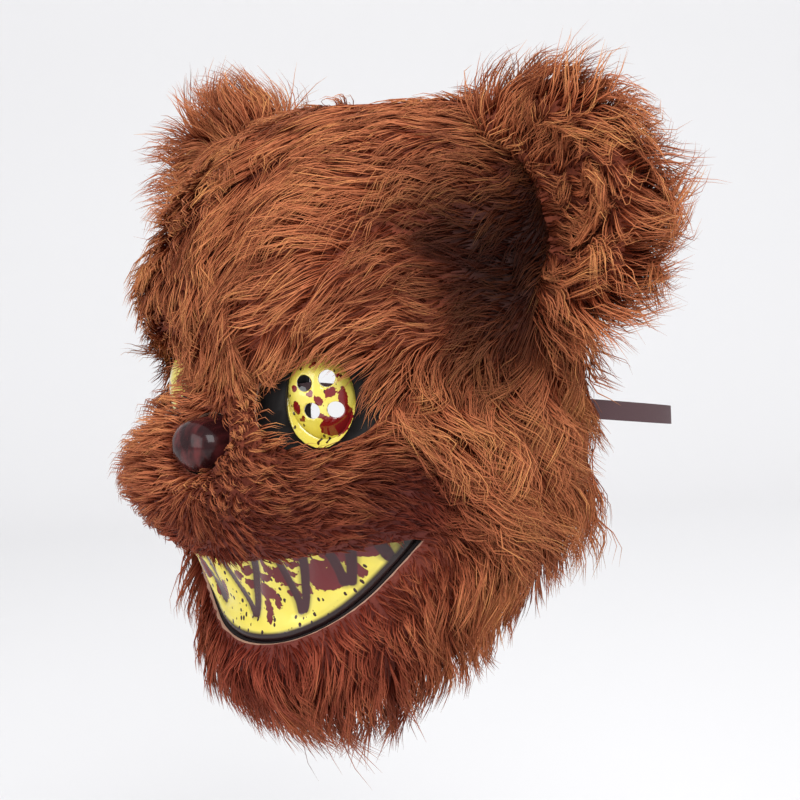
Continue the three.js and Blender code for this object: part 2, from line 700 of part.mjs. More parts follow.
// Locks on the ear: rows round the rim and on both faces, all brushed outwards from the head.
const EAR_LOCK_ROWS = [
  { ring: 0.9, depth: 0.2, count: 8, length: 1, lean: 0.1 },
  { ring: 0.68, depth: 0.6, count: 5, length: 0.95, lean: 0.3 },
  { ring: 0.7, depth: -0.3, count: 3, length: 0.95, lean: -0.3 },
];
const EAR_LOCK_SPREAD = 190;
const EAR_LOCK_TILT = 20;
const EAR_LOCK_STATIONS = [
  { along: -0.2, width: 1, droop: 0 },
  { along: 0.5, width: 0.75, droop: 0.05 },
  { along: 1, width: 0.06, droop: 0.2 },
];

function earLock(side, row, k) {
  const jitter = EAR_SCATTER.angle * scatter(k + row.count, row.count);
  const angle = radians(EAR_LOCK_TILT + EAR_LOCK_SPREAD * ((k + 0.5 + jitter) / row.count - 0.5));
  const root = earPoint(side, row.ring, angle, row.depth);
  const turned = angle + EAR_SCATTER.aside * scatter(k, row.count + 1);
  const beyond = earPoint(side, row.ring + 1, turned, row.depth);
  const { front } = earFrame(side);
  const along = beyond.sub(root).normalize().addScaledVector(front, row.lean).normalize();
  const across = along.clone().cross(front).normalize();
  const raise = across.clone().cross(along).normalize();
  const length = EAR_LOCK_LENGTH * row.length * (1 + EAR_SCATTER.size * scatter(k + 1, row.count));
  const points = EAR_LOCK_STATIONS.flatMap((station) => [-1, 0, 1].map((s) => {
    const half = (station.width * EAR_LOCK_WIDTH) / 2;
    const point = root.clone().addScaledVector(along, station.along * length);
    point.addScaledVector(across, s * half).addScaledVector(raise, (s === 0 ? 1 : -1) * KEEL * half);
    return point.add(vec(0, 0, -station.droop * length));
  }));
  return meshedSolid(points, ringFaces(EAR_LOCK_STATIONS.length, 3));
}

function earLocks(side) {
  return EAR_LOCK_ROWS.flatMap((row) => Array.from({ length: row.count }, (_, k) => earLock(side, row, k)));
}

// The room of the head and its pile, which the ears are seated on.
function headRoom(side) {
  const head = slab({
    turns: turnLines(side > 0 ? [MIDDLE, ROUND_CELLS] : [0, MIDDLE]),
    rows: rowLines([LIP_ROW, FACE_CELLS]),
    inner: constant(-FACE_HALF_WIDTH / 3),
    outer: (turn, t) => pileDepth(turn, t) + SEAT_GAP,
  });
  const depth = EAR_THICK + EAR_LOCK_LENGTH;
  const behind = new THREE.BoxGeometry(FACE_HALF_WIDTH, depth, 2 * CROWN_RISE);
  behind.translate((side * FACE_HALF_WIDTH) / 2, SIDE_DEPTH + depth / 2 - 2 * SEAT_GAP, 0);
  return head.add(solidOf(behind));
}

// Elastic strap: its ends lie inside the shell's side edges and it runs round the back of the head
// in STRAP_STEPS lengths a side. A STRAP_SWELL below 1 keeps its sides straighter than an oval's.
const STRAP_STEPS = 9;
const STRAP_SWELL = 0.8;
const strapRow = () => rowAtHeight(-STRAP_BELOW_EYES);
const strapTurn = (fromEdge) => SIDE_TURN - fromEdge / FACE_HALF_WIDTH;
const strapInside = -SHELL_WALL - SEAT_GAP - STRAP_THICK / 2;

function strapRoute() {
  const tab = [1, 0.5, 0].map((share) => skinPoint(strapTurn(share * TAB_LENGTH), strapRow(), strapInside));
  const edge = tab.at(-1);
  const loop = Array.from({ length: STRAP_STEPS }, (_, i) => {
    const angle = (PI / 2) * ((i + 1) / STRAP_STEPS);
    const x = edge.x * max(cos(angle), 0) ** STRAP_SWELL;
    return vec(x, edge.y + (HEAD_BACK - edge.y) * sin(angle), edge.z - STRAP_DROP * sin(angle));
  });
  const half = [...tab, ...loop];
  half.at(-1).x = 0;
  const other = half.slice(0, -1).reverse().map(({ x, y, z }) => vec(-x, y, z));
  return [...half, ...other];
}

function strap() {
  const route = strapRoute();
  const points = route.flatMap((point, i) => {
    const along = route[min(i + 1, route.length - 1)].clone().sub(route[max(i - 1, 0)]);
    const out = along.setZ(0).normalize().cross(vec(0, 0, 1));
    return [[-1, -1], [1, -1], [1, 1], [-1, 1]].map(([s, h]) => point.clone()
      .addScaledVector(out, (s * STRAP_THICK) / 2)
      .add(vec(0, 0, (h * STRAP_WIDTH) / 2)));
  });
  const band = meshedSolid(points, ringFaces(route.length, 4));
  return band.subtract(rivetHole(-1)).subtract(rivetHole(1));
}

function rivetPlace(side, depth) {
  const turn = side * strapTurn(TAB_LENGTH / 2);
  return { centre: skinPoint(turn, strapRow(), -depth), out: tangents(facePoint, turn, strapRow()).out };
}

const rivetRound = (diameter) => oval(diameter, diameter, SMALL_CORNERS);

function rivetHole(side) {
  return prism(rivetRound(RIVET_DIAMETER + 2 * SEAT_GAP), rivetPlace(side, 0), STRAP_WIDTH);
}

// The rivet's shank ends flush under the cloth, and its head holds the strap's end from inside.
function rivet(side) {
  const grip = SHELL_WALL + STRAP_THICK + 2 * SEAT_GAP;
  const middle = grip + RIVET_HEAD_THICK / 2;
  const shank = prism(rivetRound(RIVET_DIAMETER), rivetPlace(side, middle / 2), middle / 2);
  return shank.add(prism(rivetRound(RIVET_HEAD), rivetPlace(side, middle), RIVET_HEAD_THICK / 2));
}

// Materials
const finish = (color, roughness) => new THREE.MeshStandardMaterial({ color, roughness, metalness: 0 });
const blackPlastic = finish(0x14100f, 0.4);
const yellowPaint = finish(0xd8c838, 0.3);
const darkGloss = finish(0x3a1a1c, 0.12);
const russetFur = finish(0x8a4a2c, 0.85);
const redFur = finish(0x733028, 0.85);
const elastic = finish(0x4a3034, 0.7);
const steel = finish(0x8c8c8c, 0.35);

const mask = new THREE.Group();

function addPiece(name, solid, material) {
  const mesh = new THREE.Mesh(geometryOf(solid), material);
  mesh.name = name;
  mask.add(mesh);
}

addPiece('mask_shell', maskShell(), blackPlastic);
addPiece('eye_left', eye(1), yellowPaint);
addPiece('eye_right', eye(-1), yellowPaint);
addPiece('nose', nose(), darkGloss);
addPiece('teeth_plate', teethPlate(), yellowPaint);

// The plush is laid on as backings first, and then each panel and ear gets its locks.
const plush = new Map(Object.entries(PANELS).map(([name, panel]) => [name, backing(panel)]));
const ears = { ear_left: 1, ear_right: -1 };
for (const [name, side] of Object.entries(ears)) {
  plush.set(name, largest(earDisc(side).subtract(headRoom(side))));
}
const others = (name) => [...plush.keys()].filter((key) => key !== name).map((key) => plush.get(key));
for (const [name, panel] of Object.entries(PANELS)) {
  plush.set(name, openings(withLocks(plush.get(name), panelLocks(panel), others(name))));
}
for (const [name, side] of Object.entries(ears)) {
  const locks = earLocks(side).map((lock) => lock.subtract(headRoom(side)));
  plush.set(name, largest(withLocks(plush.get(name), locks, others(name))));
}
for (const [name, solid] of plush) addPiece(name, solid, name === 'jaw_fur' ? redFur : russetFur);
addPiece('strap', strap(), elastic);
addPiece('rivet_left', rivet(1), steel);
addPiece('rivet_right', rivet(-1), steel);

export default mask;
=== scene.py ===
# %% [markdown]
# # A plush bear mask
#
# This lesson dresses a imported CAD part, a bear mask with a hard plastic face, as it looks in its photo:
# long plush fur that is combed into locks, glossy painted eyes and teeth, and an elastic strap.
# The CAD part stays where it is. Every piece made here is measured from it.
#
# The mask faces -Y, +Z is up and +X is the wearer's left. Lengths are in metres.

import math

import bpy
import numpy as np
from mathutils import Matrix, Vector
from mathutils.bvhtree import BVHTree


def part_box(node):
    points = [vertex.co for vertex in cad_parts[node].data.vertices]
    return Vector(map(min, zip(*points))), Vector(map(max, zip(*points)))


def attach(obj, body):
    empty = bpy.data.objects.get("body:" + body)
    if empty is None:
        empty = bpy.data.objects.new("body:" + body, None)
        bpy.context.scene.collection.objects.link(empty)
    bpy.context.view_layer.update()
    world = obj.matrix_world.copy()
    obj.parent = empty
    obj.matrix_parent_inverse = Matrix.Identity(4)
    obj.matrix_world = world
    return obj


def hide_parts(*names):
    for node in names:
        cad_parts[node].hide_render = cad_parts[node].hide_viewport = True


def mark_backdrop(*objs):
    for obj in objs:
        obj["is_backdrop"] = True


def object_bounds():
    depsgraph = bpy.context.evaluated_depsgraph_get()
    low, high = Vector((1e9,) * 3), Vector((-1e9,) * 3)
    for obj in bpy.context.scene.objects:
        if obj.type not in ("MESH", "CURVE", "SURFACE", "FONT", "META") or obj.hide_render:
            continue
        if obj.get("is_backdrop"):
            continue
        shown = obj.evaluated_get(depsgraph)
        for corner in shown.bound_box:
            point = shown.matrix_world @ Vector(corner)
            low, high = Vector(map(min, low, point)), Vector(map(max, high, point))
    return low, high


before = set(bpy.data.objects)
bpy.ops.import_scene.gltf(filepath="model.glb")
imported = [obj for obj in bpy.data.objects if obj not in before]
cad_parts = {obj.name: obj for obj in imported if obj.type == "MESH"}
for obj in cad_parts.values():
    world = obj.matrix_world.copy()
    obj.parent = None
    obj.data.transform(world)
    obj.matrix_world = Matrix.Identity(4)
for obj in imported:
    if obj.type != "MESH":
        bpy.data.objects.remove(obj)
box_at_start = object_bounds()
MM = 0.001
print("frame:", sorted(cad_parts))

# %% [markdown]
# ## Camera
#
# The photo looks at the mask from its left front, a little from above, with a long lens and a
# slight tilt. AIM is the point in the middle of the picture.

# %% Camera
CAMERA_TURN = 45
CAMERA_RISE = 6.6
CAMERA_TILT = 2.8
CAMERA_DISTANCE = 1.0
CAMERA_LENS = 104.7
AIM = Vector((-0.019, 0.078, -0.017))

turn, rise = math.radians(CAMERA_TURN), math.radians(CAMERA_RISE)
back = Vector((math.sin(turn) * math.cos(rise), -math.cos(turn) * math.cos(rise), math.sin(rise)))
camera = bpy.data.objects.new("camera", bpy.data.cameras.new("camera"))
bpy.context.scene.collection.objects.link(camera)
camera.data.lens = CAMERA_LENS
camera.data.sensor_width = 36
camera.location = AIM + back * CAMERA_DISTANCE
looking = (-back).to_track_quat("-Z", "Y").to_matrix().to_4x4()
camera.rotation_euler = looking.to_euler()
camera.rotation_euler.rotate_axis("Z", -math.radians(CAMERA_TILT))
bpy.context.scene.camera = camera
print("camera at", [round(v, 3) for v in camera.location])

# %% [markdown]
# ## Node helpers
#
# `Builder` writes shader and geometry nodes as short expressions. An argument is a number, a
# vector or another node's output.


# %% Node helpers
class Builder:
    def __init__(self, tree):
        self.tree = tree

    def put(self, kind, settings=None, inputs=None):
        node = self.tree.nodes.new(kind)
        for key, value in (settings or {}).items():
            setattr(node, key, value)
        for key, value in (inputs or {}).items():
            self.feed(node.inputs[key], value)
        return node

    def feed(self, socket, value):
        if isinstance(value, bpy.types.NodeSocket):
            self.tree.links.new(value, socket)
        elif value is not None:
            socket.default_value = value

    def math(self, operation, *values):
        node = self.put("ShaderNodeMath", {"operation": operation})
        for socket, value in zip(node.inputs, values):
            self.feed(socket, value)
        return node.outputs[0]

    def vector(self, operation, *values):
        node = self.put("ShaderNodeVectorMath", {"operation": operation})
        for socket, value in zip(node.inputs, values):
            self.feed(socket, value)
        return node.outputs["Value" if operation in ("DOT_PRODUCT", "LENGTH") else "Vector"]

    def scaled(self, vector, factor):
        node = self.put("ShaderNodeVectorMath", {"operation": "SCALE"})
        self.feed(node.inputs["Vector"], vector)
        self.feed(node.inputs["Scale"], factor)
        return node.outputs["Vector"]

    def total(self, *vectors):
        result = vectors[0]
        for vector in vectors[1:]:
            result = self.vector("ADD", result, vector)
        return result

    def minus(self, first, second):
        return self.math("SUBTRACT", first, second)

    def plus(self, *values):
        return self.chain("ADD", values)

    def times(self, *values):
        return self.chain("MULTIPLY", values)

    def chain(self, operation, values):
        """Works out a sum or a product of several values, from the last one back."""
        result = values[-1]
        for value in values[-2::-1]:
            result = self.math(operation, value, result)
        return result

    def remap(self, value, low, high, to_low=0.0, to_high=1.0):
        node = self.put("ShaderNodeMapRange", {"interpolation_type": "SMOOTHSTEP"})
        limits = {"From Min": low, "From Max": high, "To Min": to_low, "To Max": to_high}
        for key, number in limits.items():
            node.inputs[key].default_value = number
        self.feed(node.inputs["Value"], value)
        return node.outputs["Result"]

    def mix(self, factor, first, second):
        node = self.put("ShaderNodeMix", {"data_type": "RGBA"})
        colours = [socket for socket in node.inputs if socket.type == "RGBA"]
        self.feed(node.inputs["Factor"], factor)
        self.feed(colours[0], first)
        self.feed(colours[1], second)
        return next(socket for socket in node.outputs if socket.type == "RGBA")

    def noise(self, vector, scale, detail=2.0, kind="Fac"):
        inputs = {"Vector": vector, "Scale": scale, "Detail": detail}
        return self.put("ShaderNodeTexNoise", None, inputs).outputs[kind]


print("node helpers ready")


# %% Colours and materials
def linear(red, green, blue):
    """A colour on the screen, 0 to 255, as the renderer's own linear values."""
    channel = lambda value: value / 12.92 if value <= 0.04045 else ((value + 0.055) / 1.055) ** 2.4
    return (channel(red / 255), channel(green / 255), channel(blue / 255), 1.0)


def material(name, roughness=0.5, colour=(0.5, 0.5, 0.5, 1.0), coat=0.0):
    made = bpy.data.materials.new(name)
    made.use_nodes = True
    shader = made.node_tree.nodes["Principled BSDF"]
    shader.inputs["Base Color"].default_value = colour
    shader.inputs["Roughness"].default_value = roughness
    shader.inputs["Coat Weight"].default_value = coat
    made.diffuse_color = colour
    return made, Builder(made.node_tree), shader


def attribute(build, name, output):
    return build.put("ShaderNodeAttribute", {"attribute_name": name}).outputs[output]


def add_sockets(tree, way, *rows):
    """Gives a node group named inputs or outputs; a row is a name, a type and maybe a value."""
    for name, kind, *value in rows:
        socket = tree.interface.new_socket(name, in_out=way, socket_type=kind)
        if value:
            socket.default_value = value[0]


print("mid grey is", [round(v, 3) for v in linear(128, 128, 128)])

# %% [markdown]
# ## The face as a smooth grid
#
# The CAD face is faceted. A grid of rays, cast towards the axis of each horizontal section,
# measures it, and a light smoothing rounds the facets. Where the face is open, the teeth plate
# or the neighbours say where its surface would run.

# %% Cast rays
TURNS = np.radians(np.linspace(-90, 90, 91))
RAY_START = 0.3
ROW_STEP = 3.2 * MM
FINE_STEP = 0.5 * MM
BESIDE_MIDDLE = 12 * MM
BROW_SEAM = 19.4 * MM
LIP_SEAM = -52 * MM
MUZZLE_SEAM = 40
PLATE_DEPTH = 1.9 * MM


def tree_of(*names):
    points, faces = [], []
    for name in names:
        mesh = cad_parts[name].data
        start = len(points)
        points += [vertex.co.copy() for vertex in mesh.vertices]
        faces += [[start + i for i in polygon.vertices] for polygon in mesh.polygons]
    return BVHTree.FromPolygons(points, faces)


shell_tree = tree_of("mask_shell")
plate_tree = tree_of("teeth_plate")
shell_low, shell_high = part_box("mask_shell")


def back_edge(z):
    """How far back the side edge of the face lies at a height."""
    for y in np.arange(shell_high.y, shell_low.y, -FINE_STEP):
        if shell_tree.ray_cast(Vector((0.2, y, z)), Vector((-1, 0, 0)), 0.2)[0] is not None:
            return y - 0.3 * MM
    return 0.0


def outward(angle):
    return Vector((math.sin(angle), -math.cos(angle), 0))


def reach(tree, edge, angle, z):
    """The distance from a section's axis to the outside of a piece, or nan where it is open."""
    way = outward(angle)
    axis = Vector((0, edge, z))
    hit = tree.ray_cast(axis + way * RAY_START, -way, RAY_START - 10 * MM)
    return np.nan if hit[0] is None else (hit[0] - axis).dot(way)


print("face box:", [round(v / MM, 1) for v in (*shell_low, *shell_high)], "mm")


# %% Rows of the grid
def profile_heights():
    """Heights of the rows, evenly spaced along the front of the face, with a row on each seam."""
    fine = np.arange(shell_low.z + FINE_STEP, shell_high.z - FINE_STEP, FINE_STEP)
    front = []
    for z in fine:
        hit = shell_tree.ray_cast(Vector((BESIDE_MIDDLE, -RAY_START, z)), Vector((0, 1, 0)), 0.6)
        front.append(np.nan if hit[0] is None else hit[0].y)
    front = np.array(front)
    known = ~np.isnan(front)
    front = np.interp(fine, fine[known], front[known])
    length = np.concatenate([[0], np.cumsum(np.hypot(np.diff(fine), np.diff(front)))])
    rows = []
    stops = [fine[0], LIP_SEAM, BROW_SEAM, fine[-1]]
    for low, high in zip(stops[:-1], stops[1:]):
        start, end = np.interp([low, high], fine, length)
        count = max(int(round((end - start) / ROW_STEP)), 2)
        rows += list(np.interp(np.linspace(start, end, count + 1)[:-1], length, fine))
    return np.array(rows + [fine[-1]])


HEIGHTS = profile_heights()
EDGES = np.array([back_edge(z) for z in HEIGHTS])


def radii(tree):
    return np.array([[reach(tree, edge, turn, z) for turn in TURNS] for edge, z in zip(EDGES, HEIGHTS)])


radius = radii(shell_tree)
plate = radii(plate_tree)
print("rows:", len(HEIGHTS), "open points:", int(np.isnan(radius).sum()))


# %% Smooth the grid
def widened(mask):
    wide = mask.copy()
    wide[1:] |= mask[:-1]
    wide[:-1] |= mask[1:]
    wide[:, 1:] |= mask[:, :-1]
    wide[:, :-1] |= mask[:, 1:]
    return wide


def softened(values, rounds, held=None):
    """Averages a grid with its neighbours, keeping its border and the cells marked as held."""
    result = values.copy()
    for _ in range(rounds):
        padded = np.pad(result, 1, mode="edge")
        around = padded[:-2, 1:-1] + padded[2:, 1:-1] + padded[1:-1, :-2] + padded[1:-1, 2:]
        result = (result * 2 + around) / 6 if held is None else np.where(held, result, around / 4)
    return result


open_cells = widened(widened(np.isnan(radius) | (radius < 0)))
in_mouth = open_cells & ~np.isnan(plate) & (HEIGHTS[:, None] < LIP_SEAM)
radius = np.where(in_mouth, plate + PLATE_DEPTH, radius)
open_cells &= ~in_mouth
radius = np.where(open_cells, np.nanmean(np.where(open_cells, np.nan, radius)), radius)
radius = softened(radius, 500, held=~open_cells)
radius = softened(radius, 5)
EDGES = softened(EDGES[:, None], 3)[:, 0]
FACE = np.zeros(radius.shape + (3,))
FACE[..., 0] = radius * np.sin(TURNS)
FACE[..., 1] = EDGES[:, None] - radius * np.cos(TURNS)
FACE[..., 2] = HEIGHTS[:, None]


def grid_normals(points):
    across = np.gradient(points, axis=1)
    up = np.gradient(points, axis=0)
    normal = np.cross(across, up)
    return normal / np.maximum(np.linalg.norm(normal, axis=-1, keepdims=True), 1e-12)


NORMALS = grid_normals(FACE)
ROWS, COLUMNS = radius.shape
cells = [
    (r * COLUMNS + c, r * COLUMNS + c + 1, (r + 1) * COLUMNS + c + 1, (r + 1) * COLUMNS + c)
    for r in range(ROWS - 1)
    for c in range(COLUMNS - 1)
]
face_tree = BVHTree.FromPolygons([Vector(p) for p in FACE.reshape(-1, 3)], cells)
print("face grid:", ROWS, "rows of", COLUMNS, "points;", int(open_cells.sum()), "filled")

# %% [markdown]
# ## Openings
#
# Each opening is a closed outline on a flat view of the face. A point near an outline is moved
# onto it, so that cloth and plastic get clean edges.

# %% Sizes of the openings
EYE_TURN = math.radians(36)
EYE_CENTRE = (38.3, -20.8, -1.8)
EYE_LEAN = math.radians(10)
EYE_SIZE = (27 * MM, 35 * MM)
EYE_DOME = 9.5 * MM
EYE_FUR_SIZE = (52 * MM, 39 * MM)
NOSE_SIZE = (27 * MM, 22 * MM)
NOSE_DOME = 10.5 * MM
MOUTH_HALF = 67.5 * MM
MOUTH_TOP = -65 * MM
MOUTH_CORNER = -56 * MM
MOUTH_BOTTOM = -100 * MM
UPPER_BOW = 1.2
LOWER_BOW = 2.2
print("mouth:", round(2 * MOUTH_HALF / MM, 1), "mm wide")


# %% Views
def plane(centre, out, lean=0.0):
    """A view plane: its middle, its right and up axes, and the way it looks out."""
    right = Vector((0, 0, 1)).cross(out).normalized()
    up = out.cross(right).normalized()
    return {
        "centre": centre,
        "right": right * math.cos(lean) + up * math.sin(lean),
        "up": up * math.cos(lean) - right * math.sin(lean),
        "out": out,
    }


def top_of(name, out):
    """The point of a CAD piece that stands out furthest."""
    return max((vertex.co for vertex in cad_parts[name].data.vertices), key=lambda p: p.dot(out))


def eye_plane(side):
    out = Vector((side * math.sin(EYE_TURN), -math.cos(EYE_TURN), 0))
    centre = Vector((side * EYE_CENTRE[0], EYE_CENTRE[1], EYE_CENTRE[2])) * MM
    return plane(centre, out, side * EYE_LEAN)


NOSE_OUT = Vector((0, -1, 0))
nose_plane = plane(top_of("nose", NOSE_OUT) - NOSE_OUT * NOSE_DOME, NOSE_OUT)
nose_plane["centre"].x = 0
front_plane = plane(Vector((0, 0, 0)), Vector((0, -1, 0)))

print("nose at", [round(v / MM, 1) for v in nose_plane["centre"]], "mm")


# %% Outlines
def oval_outline(size, grow=0.0, points=72):
    angle = np.linspace(0, 2 * math.pi, points, endpoint=False)
    return np.stack([np.cos(angle) * (size[0] / 2 + grow), np.sin(angle) * (size[1] / 2 + grow)], 1)


def mouth_edge(x, middle, bow, grow=0.0):
    share = np.minimum(np.abs(x) / (MOUTH_HALF + grow), 1)
    return middle + (MOUTH_CORNER - middle) * share**bow


def upper_edge(x, grow=0.0):
    return mouth_edge(x, MOUTH_TOP + grow, UPPER_BOW, grow)


def lower_edge(x, grow=0.0):
    return mouth_edge(x, MOUTH_BOTTOM - grow, LOWER_BOW, grow)


def mouth_outline(grow=0.0):
    x = np.linspace(-1, 1, 61) * (MOUTH_HALF + grow)
    lower = np.stack([x, lower_edge(x, grow)], 1)
    upper = np.stack([x, upper_edge(x, grow)], 1)[::-1]
    return np.concatenate([lower, upper[1:-1]])


print("mouth outline:", len(mouth_outline()), "points")


# %% Carry between views and the face
def in_plane(points, view):
    offset = points - np.array(view["centre"])
    return np.stack([offset @ np.array(view["right"]), offset @ np.array(view["up"])], -1)


def on_face(flat, view):
    """A point of a view plane, carried onto the face."""
    start = view["centre"] + view["right"] * flat[0] + view["up"] * flat[1] + view["out"] * 0.1
    hit = face_tree.ray_cast(start, -view["out"], 0.3)
    return None if hit[0] is None else np.array(hit[0])


def inside(flat, outline):
    """Which flat points are inside a closed outline, by counting crossings."""
    x, y = flat[..., 0], flat[..., 1]
    result = np.zeros(x.shape, bool)
    for (x0, y0), (x1, y1) in zip(outline, np.roll(outline, -1, axis=0)):
        crosses = (y0 > y) != (y1 > y)
        at = x0 + (y - y0) / np.where(y1 == y0, 1e-12, y1 - y0) * (x1 - x0)
        result ^= crosses & (x < at)
    return result


EYES = {"left": eye_plane(1), "right": eye_plane(-1)}
print("eye centres:", [[round(v / MM, 1) for v in view["centre"]] for view in EYES.values()])

# %% [markdown]
# ## Closed skins
#
# `skin` makes a closed solid over some cells of the grid: an outer layer, an inner layer and
# walls round every edge. Its cells inside an opening are left out.


# %% Closed skins
def facing(view):
    """Cells whose point can be seen from a view plane's side."""
    return (NORMALS @ np.array(view["out"])) > 0.15


def skin(name, outer, inner, keep, openings, extra=None):
    """outer and inner are grids of distances from the face, keep marks the cells to use."""
    points = FACE.copy()
    keep = keep.copy()
    middles = (FACE[:-1, :-1] + FACE[1:, :-1] + FACE[:-1, 1:] + FACE[1:, 1:]) / 4
    for view, outline in openings:
        front = facing(view)[:-1, :-1]
        hole = inside(in_plane(middles, view), outline) & front
        keep &= ~hole
        touched = np.zeros((ROWS, COLUMNS), int)
        kept = np.zeros((ROWS, COLUMNS), int)
        for dr in (0, 1):
            for dc in (0, 1):
                touched[dr : ROWS - 1 + dr, dc : COLUMNS - 1 + dc] += hole
                kept[dr : ROWS - 1 + dr, dc : COLUMNS - 1 + dc] += keep
        flat = in_plane(points, view)
        for r, c in zip(*np.nonzero((touched > 0) & (kept > 0))):
            starts, ends = outline, np.roll(outline, -1, axis=0)
            along = ends - starts
            share = ((flat[r, c] - starts) * along).sum(1) / np.maximum((along**2).sum(1), 1e-18)
            nearest = starts + along * np.clip(share, 0, 1)[:, None]
            best = nearest[np.argmin(((nearest - flat[r, c]) ** 2).sum(1))]
            placed = on_face(best, view)
            if placed is not None:
                points[r, c] = placed
    layers = [points + NORMALS * outer[..., None], points + NORMALS * inner[..., None]]
    used = {}
    corners = []

    def corner(layer, r, c):
        if (layer, r, c) not in used:
            used[layer, r, c] = len(corners)
            corners.append(layers[layer][r, c])
        return used[layer, r, c]

    faces, grows, walls = [], [], []
    for r, c in zip(*np.nonzero(keep)):
        ring = [(r, c), (r, c + 1), (r + 1, c + 1), (r + 1, c)]
        faces.append([corner(0, *p) for p in ring])
        faces.append([corner(1, *p) for p in reversed(ring)])
        grows += [1.0, 0.0]
        walls += [0, 0]
        beside = [(r - 1, c), (r, c + 1), (r + 1, c), (r, c - 1)]
        for k, (nr, nc) in enumerate(beside):
            if not (0 <= nr < ROWS - 1 and 0 <= nc < COLUMNS - 1 and keep[nr, nc]):
                a, b = ring[k], ring[(k + 1) % 4]
                faces.append([corner(0, *a), corner(1, *a), corner(1, *b), corner(0, *b)])
                grows.append(0.0)
                walls.append(1)
    mesh = bpy.data.meshes.new(name)
    mesh.from_pydata([tuple(p) for p in corners], [], faces)
    mesh.polygons.foreach_set("use_smooth", [wall == 0 for wall in walls])
    mesh.polygons.foreach_set("material_index", walls)
    mesh.attributes.new("grows", "FLOAT", "FACE").data.foreach_set("value", grows)
    places = np.array([(r, c) for _, r, c in used])
    for key, grid in (extra or {}).items():
        values = grid[places[:, 0], places[:, 1]]
        if grid.ndim == 3:
            mesh.attributes.new(key, "FLOAT_VECTOR", "POINT").data.foreach_set("vector", values.ravel())
        else:
            mesh.attributes.new(key, "FLOAT", "POINT").data.foreach_set("value", values)
    mesh.update()
    return mesh


print("grid cells to choose from:", len(cells))


# %% Add a piece
def add_piece(mesh, name, slot, nodes, *materials):
    piece = bpy.data.objects.new(name, mesh)
    bpy.context.scene.collection.objects.link(piece)
    for used in materials:
        mesh.materials.append(used)
    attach(piece, "root")
    if nodes:
        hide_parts(*nodes)
    return piece


# %% [markdown]
# ## Plastic face
#
# The face is black formed plastic. It shows from behind, round the eyes and at its edges.

# %% Plastic face
SHELL_WALL = 1.6 * MM
everywhere = np.ones((ROWS - 1, COLUMNS - 1), bool)
flat_grid = np.zeros((ROWS, COLUMNS))
shell_cuts = [(view, oval_outline(EYE_SIZE)) for view in EYES.values()]
shell_cuts += [(nose_plane, oval_outline(NOSE_SIZE)), (front_plane, mouth_outline())]
black_plastic, _, shader = material("black_plastic", 0.5, linear(10, 7, 7))
shader.inputs["Specular IOR Level"].default_value = 0.12
cut_plastic, _, _ = material("cut_plastic", 0.5, linear(40, 34, 34))
shell_mesh = skin("mask_shell_looks", flat_grid, flat_grid - SHELL_WALL, everywhere, shell_cuts)
add_piece(shell_mesh, "plastic_face", "shell_plastic", ["mask_shell"], black_plastic, cut_plastic)
print("plastic face:", len(shell_mesh.polygons), "faces")

# %% [markdown]
# ## Paint
#
# Eyes and teeth share one effect, a splatter of thick blotches and small specks. It is a node
# group that only gives masks: how far a point is inside a drawn blotch comes in as a number.
# Noise frays the edge of a blotch, and a stretched Voronoi pattern gives the specks.

# %% Paint group
splatter = bpy.data.node_groups.new("splatter", "ShaderNodeTree")
add_sockets(
    splatter, "INPUT",
    ("Place", "NodeSocketVector"),
    ("Drawn", "NodeSocketFloat", 0.0),
    ("Ragged", "NodeSocketFloat", 1.0),
    ("Specks", "NodeSocketFloat", 0.5),
)
add_sockets(splatter, "OUTPUT", ("Blotch", "NodeSocketFloat"), ("Speck", "NodeSocketFloat"))
build = Builder(splatter)
given = build.put("NodeGroupInput").outputs
result = build.put("NodeGroupOutput").inputs
frayed = build.times(build.minus(build.noise(given["Place"], 0.55, 3.0), 0.5), given["Ragged"])
edge = build.plus(given["Drawn"], build.times(frayed, 2.4))
build.feed(result["Blotch"], build.remap(edge, -0.08, 0.12))
stretched = build.vector("MULTIPLY", given["Place"], (0.62, 0.42, 0.5))
dots = build.put("ShaderNodeTexVoronoi", None, {"Vector": stretched, "Scale": 1.0, "Randomness": 1.0})
chosen = build.put("ShaderNodeSeparateColor", None, {"Color": dots.outputs["Color"]}).outputs[0]
size = build.times(build.remap(chosen, 0.4, 1.0, 0.0, 0.36), given["Specks"])
near = build.minus(size, dots.outputs["Distance"])
build.feed(result["Speck"], build.remap(near, -0.02, 0.04))
print("splatter group:", len(splatter.nodes), "nodes")


# %% Paint colours
def splattered(build, place, drawn, ragged, specks):
    node = build.put("ShaderNodeGroup", {"node_tree": splatter})
    for key, value in (("Place", place), ("Drawn", drawn), ("Ragged", ragged), ("Specks", specks)):
        build.feed(node.inputs[key], value)
    return node.outputs["Blotch"], node.outputs["Speck"]


YELLOW = linear(208, 188, 58)
PALE_YELLOW = linear(220, 208, 104)
BLOOD = linear(112, 14, 16)
DARK_BLOOD = linear(58, 26, 32)
SPECK = linear(48, 18, 12)
print("yellow:", [round(v, 3) for v in YELLOW])

# %% [markdown]
# ## Domes
#
# Eyes and nose are hollow domes with a flange behind the face. Each is turned from one closed
# profile, and the see-holes are cut with real cylinders.


